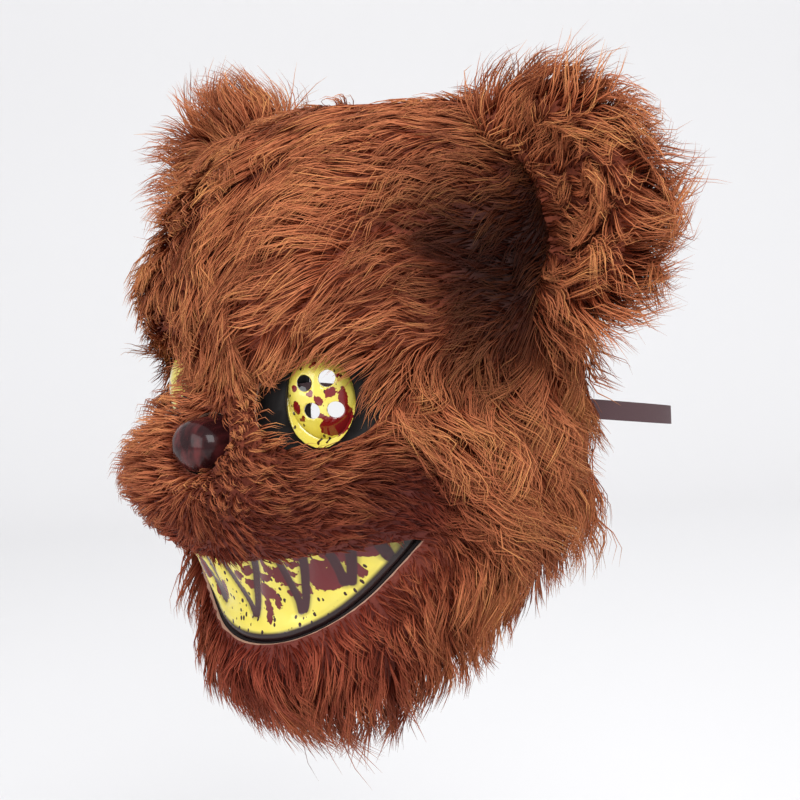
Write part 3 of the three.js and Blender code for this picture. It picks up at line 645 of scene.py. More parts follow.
# %% Domes
def turned(name, view, size, profile, spokes=64, seated=False):
    """A closed mesh from a profile of rows: share of the size, extra width, distance out of the plane.

    Rows behind the plane are measured from the face instead when the piece is seated on it.
    """
    angle = np.linspace(0, 2 * math.pi, spokes, endpoint=False)
    centre, right, up, out = (np.array(view[key]) for key in ("centre", "right", "up", "out"))
    points = []
    for share, extra, depth in profile:
        across = np.cos(angle) * (size[0] / 2 * share + extra)
        upward = np.sin(angle) * (size[1] / 2 * share + extra)
        points.append(centre + across[:, None] * right + upward[:, None] * up + depth * out)
    rings = len(profile)
    faces = []
    for r in range(rings - 1):
        for k in range(spokes):
            a, b = r * spokes + k, r * spokes + (k + 1) % spokes
            faces.append([a, a + spokes, b + spokes, b])
    points = np.concatenate(points)
    for i, (_, _, depth) in enumerate(profile):
        if seated and depth <= -PLATE_DEPTH:
            ring = slice(i * spokes, (i + 1) * spokes)
            points[ring] = [on_face(flat, view) + out * depth for flat in in_plane(points[ring], view)]
    ends = [points[:spokes].mean(0), points[-spokes:].mean(0)]
    front, rear = len(points), len(points) + 1
    last = (rings - 1) * spokes
    for k in range(spokes):
        faces.append([front, k, (k + 1) % spokes])
        faces.append([rear, last + (k + 1) % spokes, last + k])
    points = np.concatenate([points, ends])
    mesh = bpy.data.meshes.new(name)
    mesh.from_pydata([tuple(p) for p in points], [], faces)
    mesh.polygons.foreach_set("use_smooth", [True] * len(faces))
    return mesh


def dome_profile(size, dome, wall=1.5 * MM, rim=4 * MM, full=2.0):
    shares = np.sin(np.linspace(0.06, math.pi / 2, 16))

    def height(share):
        return max(1 - share**full, 0) ** (1 / full)

    rows = [(share, -0.3 * MM * share, dome * height(share)) for share in shares]
    rows += [(1, 0, -PLATE_DEPTH), (1, rim, -PLATE_DEPTH), (1, rim, -PLATE_DEPTH - wall)]
    rows += [(1, -wall, -PLATE_DEPTH - wall)]
    for share in shares[::-1][2:]:
        rows.append((share, -wall * share, (dome - wall) * height(share)))
    return rows


print("dome rows:", len(dome_profile(EYE_SIZE, EYE_DOME)))

# %% [markdown]
# ## Eyes
#
# An eye is turned first. The four see-holes are cut next, so that their walls are real, and the
# blotches are stored last, on the mesh that is left.


# %% Drawn blotches
def measured(mesh, name, view):
    """Stores where each point lies on a view plane, in millimetres."""
    points = np.array([vertex.co for vertex in mesh.vertices])
    flat = in_plane(points, view) / MM
    values = np.concatenate([flat, np.zeros((len(flat), 1))], 1)
    mesh.attributes.new(name, "FLOAT_VECTOR", "POINT").data.foreach_set("vector", values.ravel())
    return flat


def drawn_blots(flat, blots):
    """How far inside the nearest drawn blotch a point is, in millimetres, negative outside."""
    best = np.full(len(flat), -50.0)
    for right, up, wide, tall, turned_by in blots:
        angle = math.radians(turned_by)
        x = (flat[:, 0] - right) * math.cos(angle) + (flat[:, 1] - up) * math.sin(angle)
        y = (flat[:, 1] - up) * math.cos(angle) - (flat[:, 0] - right) * math.sin(angle)
        distance = np.sqrt((x / wide) ** 2 + (y / tall) ** 2)
        best = np.maximum(best, (1 - distance) * min(wide, tall))
    return best


# Blotches on an eye: right, up, half-width, half-height in millimetres and turn in degrees
EYE_BLOTS = [
    (3.9, -10.6, 6.4, 4.2, 10), (-0.6, -5.8, 2.6, 1.1, -35), (9.0, -7.6, 2.0, 3.8, 0),
    (8.9, -1.0, 1.6, 4.2, -6), (5.0, 2.0, 2.4, 1.9, 20), (0.0, -0.4, 1.7, 1.9, 0),
    (-2.6, 3.0, 1.5, 1.3, 0), (8.6, 8.0, 1.0, 1.2, 0), (-9.6, -1.5, 1.6, 2.8, 0),
    (-8.0, -6.0, 1.4, 1.2, 0), (-9.0, 6.0, 1.2, 1.6, 0), (0.5, 13.5, 2.0, 0.7, 15),
]
print("blotches on an eye:", len(EYE_BLOTS))

# %% Eye paint
eye_paint, build, shader = material("eye_paint", 0.14, YELLOW, coat=0.6)
shader.inputs["Coat Roughness"].default_value = 0.05
place = attribute(build, "paint", "Vector")
blotch, speck = splattered(build, place, attribute(build, "drawn", "Fac"), 0.9, 1.0)
base = build.mix(build.noise(place, 0.12, 1.0), YELLOW, PALE_YELLOW)
base = build.mix(speck, base, SPECK)
build.feed(shader.inputs["Base Color"], build.mix(blotch, base, BLOOD))
print("eye paint:", len(eye_paint.node_tree.nodes), "nodes")

# %% Cut see-holes
# Middles of the see-holes, as shares of the eye's size to the right and up
SEE_HOLES = [(-0.16, 0.21), (0.17, 0.21), (-0.13, -0.1), (0.2, -0.14)]
SEE_HOLE = 6.4 * MM
CUTTER = [(1, 0, 20 * MM), (1, 0, -20 * MM)]
CUTTER_SPOKES = 24


def settled(piece):
    """Replaces a piece's mesh by what its modifiers make of it."""
    bpy.context.view_layer.update()
    made = bpy.data.meshes.new_from_object(piece.evaluated_get(bpy.context.evaluated_depsgraph_get()))
    made.name = piece.name
    piece.modifiers.clear()
    piece.data = made
    return made


def cut_holes(piece, view, size):
    """Cuts the see-holes with a boolean and keeps the result as a plain mesh."""
    cutters = []
    for across, up in SEE_HOLES:
        middle = view["centre"] + view["right"] * (across * size[0]) + view["up"] * (up * size[1])
        hole = turned("see_hole", {**view, "centre": middle}, (SEE_HOLE, SEE_HOLE), CUTTER, CUTTER_SPOKES)
        cutters.append(bpy.data.objects.new("see_hole", hole))
        bpy.context.scene.collection.objects.link(cutters[-1])
        cut = piece.modifiers.new("see_hole", "BOOLEAN")
        cut.operation = "DIFFERENCE"
        cut.solver = "EXACT"
        cut.object = cutters[-1]
    settled(piece)
    for cutter in cutters:
        bpy.data.objects.remove(cutter)


for label, view in EYES.items():
    mesh = turned("eye", view, EYE_SIZE, dome_profile(EYE_SIZE, EYE_DOME), seated=True)
    mesh.materials.append(eye_paint)
    eye = bpy.data.objects.new("painted_eye_" + label, mesh)
    bpy.context.scene.collection.objects.link(eye)
    mirrored = 1 if label == "left" else -1
    holes_view = {**view, "right": view["right"] * mirrored}
    cut_holes(eye, holes_view, EYE_SIZE)
    flat = measured(eye.data, "paint", holes_view)
    values = drawn_blots(flat, EYE_BLOTS)
    eye.data.attributes.new("drawn", "FLOAT", "POINT").data.foreach_set("value", values)
    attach(eye, "root")
    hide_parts("eye_" + label)
    print(eye.name, len(eye.data.polygons), "faces")

# %% [markdown]
# ## Nose
#
# The nose is a fuller dome of dark gloss paint with faint streaks.

# %% Nose
nose_gloss, build, shader = material("nose_gloss", 0.22, linear(44, 14, 15), coat=0.5)
shader.inputs["Specular IOR Level"].default_value = 0.12
shader.inputs["Coat Roughness"].default_value = 0.05
shader.inputs["Coat IOR"].default_value = 1.3
stretched = build.vector("MULTIPLY", attribute(build, "paint", "Vector"), (0.22, 0.1, 1))
streaks = build.remap(build.noise(stretched, 1.0, 3.0), 0.4, 0.75)
nose_tone = build.mix(streaks, linear(34, 12, 14), linear(84, 34, 34))
build.feed(shader.inputs["Base Color"], nose_tone)
nose_profile = dome_profile(NOSE_SIZE, NOSE_DOME, full=2.4)
nose_mesh = turned("nose", nose_plane, NOSE_SIZE, nose_profile, seated=True)
measured(nose_mesh, "paint", nose_plane)
add_piece(nose_mesh, "glossy_nose", "nose_plastic", ["nose"], nose_gloss)
print("nose:", len(nose_mesh.polygons), "faces")

# %% [markdown]
# ## Teeth
#
# The teeth are one plate in relief. Grooves run down and up between upper fangs and lower
# teeth, and a dark bead closes the lower edge. The plate is a grid over the mouth. Each point
# knows its distance from the nearest groove, which sets both its height and its paint.

# %% Plate grid
# Grooves on one side: where each starts and ends, as shares of the mouth's half-width outwards
# and of its height downwards. They outline the upper fangs, and the other side mirrors them.
GROOVES = [
    (0.2, -0.12, 0.01, 0.68), (0.33, -0.14, 0.337, 0.6), (0.53, -0.19, 0.365, 0.58),
    (0.645, -0.23, 0.63, 0.27), (0.77, -0.27, 0.665, 0.27), (0.86, -0.29, 0.86, -0.02),
]
MOUTH_TALL = MOUTH_TOP - MOUTH_BOTTOM
PLATE_RIM = 4 * MM
PLATE_WALL = 2.6 * MM
GROOVE_DEEP = 1.5
TOOTH_SWELL = 1.5
BEAD_RISE = 1.5

across = np.linspace(-1, 1, 177) * (MOUTH_HALF + PLATE_RIM)
low = lower_edge(across, PLATE_RIM)
high = upper_edge(across, PLATE_RIM)
high = np.maximum(high, low + 0.5 * MM)
shares = np.linspace(0, 1, 64)
plate_x = np.repeat(across[None], len(shares), 0)
plate_z = low + (high - low) * shares[:, None]
print("plate grid:", plate_x.shape)


# %% Relief of the teeth
def groove_distance(x, z):
    """The distance in millimetres from the nearest groove's middle line."""
    best = np.full(x.shape, 99.0)
    for side in (-1, 1):
        for start_out, start_down, end_out, end_down in GROOVES:
            ax, az = side * start_out * MOUTH_HALF, MOUTH_TOP - start_down * MOUTH_TALL
            bx, bz = side * end_out * MOUTH_HALF, MOUTH_TOP - end_down * MOUTH_TALL
            length = (bx - ax) ** 2 + (bz - az) ** 2
            share = np.clip(((x - ax) * (bx - ax) + (z - az) * (bz - az)) / length, 0, 1)
            off_x, off_z = x - ax - share * (bx - ax), z - az - share * (bz - az)
            best = np.minimum(best, np.hypot(off_x, off_z) / MM)
    return best


def face_front(x, z):
    """The point of the face at a place on the front view, and the way it faces."""
    hit = face_tree.ray_cast(Vector((x, -0.2, z)), Vector((0, 1, 0)), 0.4)
    if hit[0] is None:
        return np.array((x, 0.03, z)), np.array((0, -1.0, 0))
    return np.array(hit[0]), np.array(hit[1])


grooves = groove_distance(plate_x, plate_z)
from_low = (plate_z - lower_edge(plate_x)) / MM
tooth = TOOTH_SWELL * (1 - np.exp(-((grooves / 3.6) ** 2)))
tooth -= GROOVE_DEEP * np.exp(-((grooves / 1.3) ** 2))
tooth *= np.clip(from_low / 6, 0, 1) ** 0.7
bead = BEAD_RISE * np.sqrt(np.clip(1 - ((from_low - 2.6) / 2.4) ** 2, 0, 1))
relief = np.maximum(tooth, bead)
relief *= np.clip((MOUTH_HALF + 1 * MM - np.abs(plate_x)) / (6 * MM), 0, 1)
plate_points = np.zeros(plate_x.shape + (3,))
for index in np.ndindex(plate_x.shape):
    point, normal = face_front(plate_x[index], plate_z[index])
    if normal[1] > 0:
        normal = -normal
    plate_points[index] = point + normal * (relief[index] * MM - PLATE_DEPTH)
plate_back = plate_points.copy()
plate_back[..., 1] += PLATE_WALL
print("relief:", round(float(relief.min()), 2), "to", round(float(relief.max()), 2), "mm")


# %% Closed slab
def closed_slab(name, front, rear):
    """A closed solid between two equal grids of points."""
    rows, columns = front.shape[:2]
    points = np.concatenate([front.reshape(-1, 3), rear.reshape(-1, 3)])
    layer = rows * columns
    faces = []
    for r in range(rows - 1):
        for c in range(columns - 1):
            a = r * columns + c
            faces.append([a, a + 1, a + columns + 1, a + columns])
            faces.append([a + layer, a + columns + layer, a + columns + 1 + layer, a + 1 + layer])
    rim = [c for c in range(columns)]
    rim += [r * columns + columns - 1 for r in range(1, rows)]
    rim += [(rows - 1) * columns + c for c in range(columns - 2, -1, -1)]
    rim += [r * columns for r in range(rows - 2, 0, -1)]
    for a, b in zip(rim, rim[1:] + rim[:1]):
        faces.append([a, a + layer, b + layer, b])
    mesh = bpy.data.meshes.new(name)
    mesh.from_pydata([tuple(p) for p in points], [], faces)
    mesh.polygons.foreach_set("use_smooth", [True] * len(faces))
    return mesh


print("slab faces:", 2 * (plate_x.shape[0] - 1) * (plate_x.shape[1] - 1), "and a rim")

# %% Blotches on the teeth
# Right, up from the mouth's top, half-width, half-height, turn
TEETH_BLOTS = [
    (11.0, -13.5, 4.2, 3.0, 0), (9.2, -21.0, 1.5, 5.5, -6), (12.6, -7.6, 2.6, 1.4, 0),
    (-1.0, -7.5, 2.4, 1.8, 20), (35.5, -6.5, 4.6, 5.4, 0), (39.5, -9.5, 2.6, 2.4, 0),
    (44.0, 2.0, 4.0, 2.6, -20), (24.5, -5.5, 2.8, 1.2, 0), (23.0, -10.5, 2.8, 1.2, 0),
    (22.5, -14.5, 2.2, 1.4, 0), (54.5, 4.5, 3.2, 3.0, 0), (29.0, -12.0, 1.4, 2.0, 0),
    (48.5, -3.5, 2.2, 3.6, 20), (16.0, -3.0, 1.6, 3.2, 10), (31.5, 0.5, 1.6, 1.4, 0),
    (5.0, -5.5, 2.6, 1.5, 30), (3.5, -11.5, 1.6, 2.4, 20), (19.5, -6.5, 1.5, 3.2, -10),
    (27.5, -1.5, 2.4, 1.3, 0), (38.0, -1.0, 2.6, 2.0, 0), (50.5, 3.5, 2.6, 2.2, 0),
    (14.5, -17.0, 1.3, 3.0, 0), (41.5, -4.5, 1.8, 3.4, 0), (-17.0, -16.0, 2.0, 4.6, -30),
    (-20.0, -8.0, 2.6, 1.3, 30), (-31, -8.5, 4.0, 4.8, 0), (-27.0, -16.0, 1.4, 4.4, 0),
    (-44, -3, 3.2, 3.4, 0), (-38, -13, 2.6, 1.5, 0), (-54, 2, 2.4, 2.6, 0),
    (-9.0, -3.5, 2.2, 1.2, 20),
]
BLOT_SPREAD = 0.35
print("blotches on the teeth:", len(TEETH_BLOTS))

# %% Teeth paint
teeth_paint, build, shader = material("teeth_paint", 0.24, YELLOW, coat=0.12)
shader.inputs["Specular IOR Level"].default_value = 0.35
shader.inputs["Coat Roughness"].default_value = 0.1
place, groove = attribute(build, "paint", "Vector"), attribute(build, "groove", "Fac")
blotch, speck = splattered(build, place, attribute(build, "drawn", "Fac"), 1.25, 1.2)
base = build.mix(build.noise(place, 0.1, 1.0), YELLOW, PALE_YELLOW)
base = build.mix(build.remap(groove, 1.6, 3.2, 0.6, 0.0), base, linear(120, 108, 50))
base = build.mix(speck, base, SPECK)
base = build.mix(blotch, base, linear(96, 26, 30))
base = build.mix(build.remap(groove, 1.4, 1.9, 1.0, 0.0), base, DARK_BLOOD)
beaded = build.remap(attribute(build, "lip", "Fac"), 3.0, 4.8, 1.0, 0.0)
base = build.mix(beaded, base, linear(34, 18, 20))
# Painted shadow: the teeth turn near black towards the mouth corners, where the lips shade them
base = build.mix(attribute(build, "corner", "Fac"), base, linear(22, 12, 12))
build.feed(shader.inputs["Base Color"], base)
print("teeth paint:", len(teeth_paint.node_tree.nodes), "nodes")

# %% Teeth
teeth_mesh = closed_slab("teeth", plate_points, plate_back)
flat = np.stack([plate_x / MM, (plate_z - MOUTH_TOP) / MM, plate_z * 0], -1).reshape(-1, 3)
values = np.concatenate([flat] * 2)
teeth_mesh.attributes.new("paint", "FLOAT_VECTOR", "POINT").data.foreach_set("vector", values.ravel())
outwards = plate_x / MOUTH_HALF
# Painted shadow for the mouth corners: 0 in the middle, rising to 1 at either corner
corner_shadow = np.clip((outwards - 0.84) / 0.1, 0, 1) + np.clip((-outwards - 0.84) / 0.1, 0, 1)
for key, grid in (("groove", grooves), ("lip", from_low), ("corner", corner_shadow)):
    doubled = np.concatenate([grid.ravel()] * 2)
    teeth_mesh.attributes.new(key, "FLOAT", "POINT").data.foreach_set("value", doubled)
drawn = drawn_blots(values[:, :2], TEETH_BLOTS) + BLOT_SPREAD
teeth_mesh.attributes.new("drawn", "FLOAT", "POINT").data.foreach_set("value", drawn)
add_piece(teeth_mesh, "toothed_grin", "teeth_plastic", ["teeth_plate"], teeth_paint)
print("teeth:", len(teeth_mesh.polygons), "faces")

# %% [markdown]
# ## Fur
#
# Each panel is a closed cloth with strands grown on its outer side. The cloth carries what the
# strands need: the way they are combed (`lay`), their length, how far they stand up (`lift`),
# how red they are and how much painted shade darkens them.
#
# Blender's own hair would not export as a mesh, so one Geometry Nodes tree grows all fur as thin
# closed wisps. Every panel and ear uses it, with inputs of its own. First come the inputs.

# %% Fur inputs
fur_tree = bpy.data.node_groups.new("fur", "GeometryNodeTree")
add_sockets(
    fur_tree, "INPUT",
    ("Geometry", "NodeSocketGeometry"),
    ("Density", "NodeSocketFloat", 200000.0),
    ("Seed", "NodeSocketInt", 1),
    ("Points", "NodeSocketInt", 4),
    ("Width", "NodeSocketFloat", 0.0004),
    ("Lock", "NodeSocketFloat", 0.016),
    ("Tuft", "NodeSocketFloat", 0.005),
    ("Gather", "NodeSocketFloat", 0.6),
    ("Wave", "NodeSocketFloat", 0.12),
    ("Curl", "NodeSocketFloat", 3.4),
    ("Flow", "NodeSocketFloat", 2.4),
    ("Stray", "NodeSocketFloat", 0.12),
    ("Droop", "NodeSocketFloat", 0.1),
    ("Strand Material", "NodeSocketMaterial"),
)
add_sockets(fur_tree, "OUTPUT", ("Geometry", "NodeSocketGeometry"))
g = Builder(fur_tree)
given = g.put("NodeGroupInput").outputs
print("fur inputs:", [socket.name for socket in given if socket.name])


# %% Fur roots
def named(name, kind="FLOAT"):
    node = g.put("GeometryNodeInputNamedAttribute", {"data_type": kind}, {"Name": name})
    return node.outputs["Attribute"]


def stored(geometry, name, value, kind="FLOAT"):
    settings = {"data_type": kind, "domain": "POINT"}
    node = g.put("GeometryNodeStoreNamedAttribute", settings, {"Name": name})
    g.feed(node.inputs["Geometry"], geometry)
    g.feed(node.inputs["Value"], value)
    return node.outputs["Geometry"]


def dice(low, high, seed):
    """A random number of each root, from a fixed seed."""
    node = g.put("FunctionNodeRandomValue", {"data_type": "FLOAT"})
    limits = [socket for socket in node.inputs if socket.type == "VALUE" and socket.name in ("Min", "Max")]
    limits[0].default_value = low
    limits[1].default_value = high
    node.inputs["Seed"].default_value = seed
    return next(socket for socket in node.outputs if socket.type == "VALUE")


scatter = g.put("GeometryNodeDistributePointsOnFaces", {"distribute_method": "RANDOM"})
g.feed(scatter.inputs["Mesh"], given["Geometry"])
g.feed(scatter.inputs["Density"], g.times(given["Density"], named("grows")))
g.feed(scatter.inputs["Seed"], given["Seed"])
roots = scatter.outputs["Points"]
roots = stored(roots, "root", g.put("GeometryNodeInputPosition").outputs[0], "FLOAT_VECTOR")
roots = stored(roots, "up", scatter.outputs["Normal"], "FLOAT_VECTOR")
roots = stored(roots, "pick", dice(0, 1, 3))
roots = stored(roots, "grown", dice(0.72, 1.2, 5))
roots = stored(roots, "stray", dice(-1, 1, 7))
line = g.put("GeometryNodeCurvePrimitiveLine")
line.inputs["End"].default_value = (0, 0, 10 * MM)
line_inputs = {"Curve": line.outputs["Curve"], "Count": given["Points"]}
strand = g.put("GeometryNodeResampleCurve", None, line_inputs).outputs["Curve"]
instances = g.put("GeometryNodeInstanceOnPoints", None, {"Points": roots, "Instance": strand})
real = g.put("GeometryNodeRealizeInstances", None, {"Geometry": instances.outputs["Instances"]})
curves = real.outputs[0]
print("roots carry: root, up, pick, grown, stray")

# %% [markdown]
# ### Locks
#
# Real pile clumps twice: small tufts gather into larger locks. A Voronoi pattern cuts the skin
# into cells. A strand leans towards the middle of its cell, and takes the cell's own numbers.

# %% Fur locks
LOCK_REACH = 0.55
s = g.put("GeometryNodeSplineParameter").outputs["Factor"]
root, up, lay = (named(name, "FLOAT_VECTOR") for name in ("root", "up", "lay"))
pick, stray = named("pick"), named("stray")
length = g.times(named("fur_length"), named("grown"))


def lock_middle(size):
    """The way to the middle of a strand's lock, along the skin, and three numbers of the lock's own."""
    cube = g.put("ShaderNodeCombineXYZ", None, {"X": size, "Y": size, "Z": size}).outputs[0]
    inputs = {"Vector": g.vector("DIVIDE", root, cube), "Scale": 1.0, "Randomness": 1.0}
    cell = g.put("ShaderNodeTexVoronoi", {"feature": "F1"}, inputs)
    middle = g.scaled(cell.outputs["Position"], size)
    away = g.vector("SUBTRACT", middle, root)
    flat = g.vector("SUBTRACT", away, g.scaled(up, g.vector("DOT_PRODUCT", away, up)))
    far = g.math("MAXIMUM", g.vector("LENGTH", flat), 0.1 * MM)
    flat = g.scaled(flat, g.math("MINIMUM", 1.0, g.math("DIVIDE", g.times(size, LOCK_REACH), far)))
    own = g.put("ShaderNodeSeparateXYZ", None, {"Vector": cell.outputs["Color"]})
    return flat, own.outputs[0], own.outputs[1], own.outputs[2]


to_lock, own_a, own_b, own_c = lock_middle(given["Lock"])
to_tuft, tuft_a, tuft_b, tuft_c = lock_middle(given["Tuft"])
print("lock size:", given["Lock"].default_value, "tuft size:", given["Tuft"].default_value)

# %% [markdown]
# ### Bend
#
# Each point of a strand is moved from its root along the comb. A slow noise and the lock turn
# the comb's way, an S-shaped sway bends it sideways, and an arch lifts it off the cloth.

# %% Fur bend
LOCK_TURN = 0.45
TUFT_TURN = 0.25
side = g.vector("CROSS_PRODUCT", up, lay)
flow = g.minus(g.noise(root, 38.0, 1.0), 0.5)
turn_by = g.plus(g.times(g.minus(own_a, 0.5), LOCK_TURN), g.times(flow, given["Flow"]))
turn_by = g.plus(turn_by, g.times(g.minus(tuft_a, 0.5), TUFT_TURN))
turn_by = g.plus(turn_by, g.times(stray, given["Stray"]))
way = g.vector("NORMALIZE", g.total(lay, g.scaled(side, turn_by)))
swirl = g.noise(g.total(root, (0.31, 0.17, 0.23)), 30.0, 1.0)
phase = g.plus(g.times(swirl, 16.0), g.times(g.plus(own_b, tuft_b), 0.8))
at_root = g.times(g.math("SINE", phase), g.minus(1.0, s))
sway = g.minus(g.math("SINE", g.plus(g.times(s, given["Curl"]), phase)), at_root)
bend = g.times(sway, given["Wave"], g.plus(0.4, own_c))
arch = g.times(s, g.minus(2.0, g.times(s, 1.15)))
stand = g.times(named("lift"), g.plus(0.55, g.times(g.plus(own_c, tuft_c), 0.5)))
gather = g.times(given["Gather"], g.math("POWER", s, 1.4))
gather_tuft = g.times(0.85, g.math("POWER", s, 0.8))
frizz = g.noise(g.total(root, g.scaled(up, g.times(s, 4 * MM))), 420.0, 1.0, "Color")
frizz = g.vector("SUBTRACT", frizz, (0.5, 0.5, 0.5))
moved = g.total(
    root,
    g.scaled(way, g.times(length, s, g.minus(1.0, g.times(s, 0.08)))),
    g.scaled(side, g.times(length, bend)),
    g.scaled(up, g.times(length, stand, arch)),
    g.scaled(to_lock, gather),
    g.scaled(to_tuft, gather_tuft),
    g.scaled(frizz, g.times(length, s, given["Stray"], 0.4)),
    g.scaled((0.0, 0.0, -1.0), g.times(length, given["Droop"], s, s)),
)
placed = g.put("GeometryNodeSetPosition", None, {"Geometry": curves, "Position": moved}).outputs[0]
print("fur tree so far:", len(fur_tree.nodes), "nodes")

# %% [markdown]
# ### Wisps
#
# A three-sided profile run along each strand, thinner towards the tip, makes a closed wisp. What
# the colours need is stored on the way: how far along the strand a point is, and a patchy tone
# that the strands of a lock share. At the end the wisps are made real, since an export drops
# instances, get their material and are joined to the cloth.

# %% Fur wisps
placed = stored(placed, "along", s)
own_tone = g.times(g.minus(g.plus(own_c, tuft_b), 1.0), 0.26)
placed = stored(placed, "patch", g.plus(g.noise(root, 70.0, 3.0), own_tone))
taper = g.minus(1.0, g.times(g.math("POWER", s, 2.2), 0.93))
thick = g.times(given["Width"], g.plus(0.6, g.times(pick, 0.8)))
ring = g.put("GeometryNodeCurvePrimitiveCircle", None, {"Resolution": 3, "Radius": 1.0})
ring_index = g.put("GeometryNodeInputIndex").outputs["Index"]
ring_line = stored(ring.outputs["Curve"], "across", g.math("DIVIDE", ring_index, 2.0))
sweep = {"Curve": placed, "Profile Curve": ring_line, "Scale": g.times(thick, taper), "Fill Caps": True}
wisps = g.put("GeometryNodeCurveToMesh", None, sweep).outputs["Mesh"]
wisps = g.put("GeometryNodeSetShadeSmooth", None, {"Geometry": wisps}).outputs[0]
wisps = g.put("GeometryNodeRealizeInstances", None, {"Geometry": wisps}).outputs[0]
painted = {"Geometry": wisps, "Material": given["Strand Material"]}
wisps = g.put("GeometryNodeSetMaterial", None, painted).outputs[0]
joined = g.put("GeometryNodeJoinGeometry")
fur_tree.links.new(given["Geometry"], joined.inputs[0])
fur_tree.links.new(wisps, joined.inputs[0])
g.feed(g.put("NodeGroupOutput").inputs["Geometry"], joined.outputs[0])
print("fur tree:", len(fur_tree.nodes), "nodes")

# %% [markdown]
# ## Fur colours
#
# A strand is dark at its root and lighter at its tip, strands differ a little, a few are golden,
# near the mouth they are a deep red, and painted shade darkens them where their `shade` says.
# Strands and cloth share one node group for these tones, so that the cloth between the strands
# never shows as a colour of its own.

# %% Fur tones
fur_tones = bpy.data.node_groups.new("fur tones", "ShaderNodeTree")
tone_inputs = ("Along", "Pick", "Red", "Shade", "Streak", "Patch")
add_sockets(fur_tones, "INPUT", *((name, "NodeSocketFloat") for name in tone_inputs))
add_sockets(fur_tones, "OUTPUT", ("Colour", "NodeSocketColor"))
build = Builder(fur_tones)
given = build.put("NodeGroupInput").outputs
rise_in = build.remap(given["Along"], 0.0, 0.6)
brown = build.mix(rise_in, linear(134, 56, 30), linear(190, 114, 76))
redder = build.mix(rise_in, linear(92, 26, 20), linear(138, 56, 44))
tone = build.mix(given["Red"], brown, redder)
bright = build.plus(build.remap(given["Pick"], 0.8, 1.0), build.remap(given["Patch"], 0.52, 0.72, 0.0, 0.7))
golden = build.times(bright, build.remap(given["Along"], 0.3, 1.0, 0.0, 0.6))
golden = build.times(golden, build.minus(1.0, given["Red"]))
tone = build.mix(golden, tone, linear(232, 168, 100))
dark = build.times(build.remap(given["Pick"], 0.3, 0.0), 0.35)
dark = build.plus(dark, build.times(build.remap(given["Streak"], 0.55, 0.3), 0.45))
dark = build.plus(dark, build.remap(given["Patch"], 0.5, 0.3, 0.0, 0.5))
tone = build.mix(build.math("MINIMUM", dark, 0.85), tone, linear(76, 18, 7))
# Painted shade: the Shade input darkens the tone towards a near black red
tone = build.mix(given["Shade"], tone, linear(34, 6, 2))
build.feed(build.put("NodeGroupOutput").inputs["Colour"], tone)
print("fur tones:", len(fur_tones.nodes), "nodes")


# %% Strand and cloth materials
def toned(name, roughness, colour):
    """A material whose colour comes from the fur tones, and the tones' inputs."""
    made, build, shader = material(name, roughness, colour)
    node = build.put("ShaderNodeGroup", {"node_tree": fur_tones})
    build.feed(shader.inputs["Base Color"], node.outputs["Colour"])
    return made, build, shader, node.inputs


strand_material, build, shader, tones = toned("strands", 0.6, linear(150, 82, 50))
shader.inputs["Specular IOR Level"].default_value = 0.1
for name in ("along", "pick", "red", "shade", "patch"):
    build.feed(tones[name.capitalize()], attribute(build, name, "Fac"))
spot = build.put("ShaderNodeCombineXYZ")
for key, name, stretch in (("X", "pick", 97.0), ("Y", "across", 2.2), ("Z", "along", 0.8)):
    build.feed(spot.inputs[key], build.times(attribute(build, name, "Fac"), stretch))
build.feed(tones["Streak"], build.noise(spot.outputs[0], 1.0, 1.0))

cut_edge, _, _ = material("cut_edge", 0.8, linear(176, 136, 116))
cloth_material, build, _, tones = toned("pile_base", 0.9, linear(92, 40, 24))
streak = build.noise(build.put("ShaderNodeTexCoord").outputs["Object"], 900.0, 2.0)
# Painted shade: the cloth under the strands is always at least a quarter shaded
shade = build.math("MAXIMUM", attribute(build, "shade", "Fac"), 0.25)
red = attribute(build, "red", "Fac")
cloth_tones = {"Along": 0.1, "Pick": streak, "Red": red, "Shade": shade, "Streak": streak, "Patch": 0.5}
for key, value in cloth_tones.items():
    build.feed(tones[key], value)
print("materials:", strand_material.name, cloth_material.name, cut_edge.name)
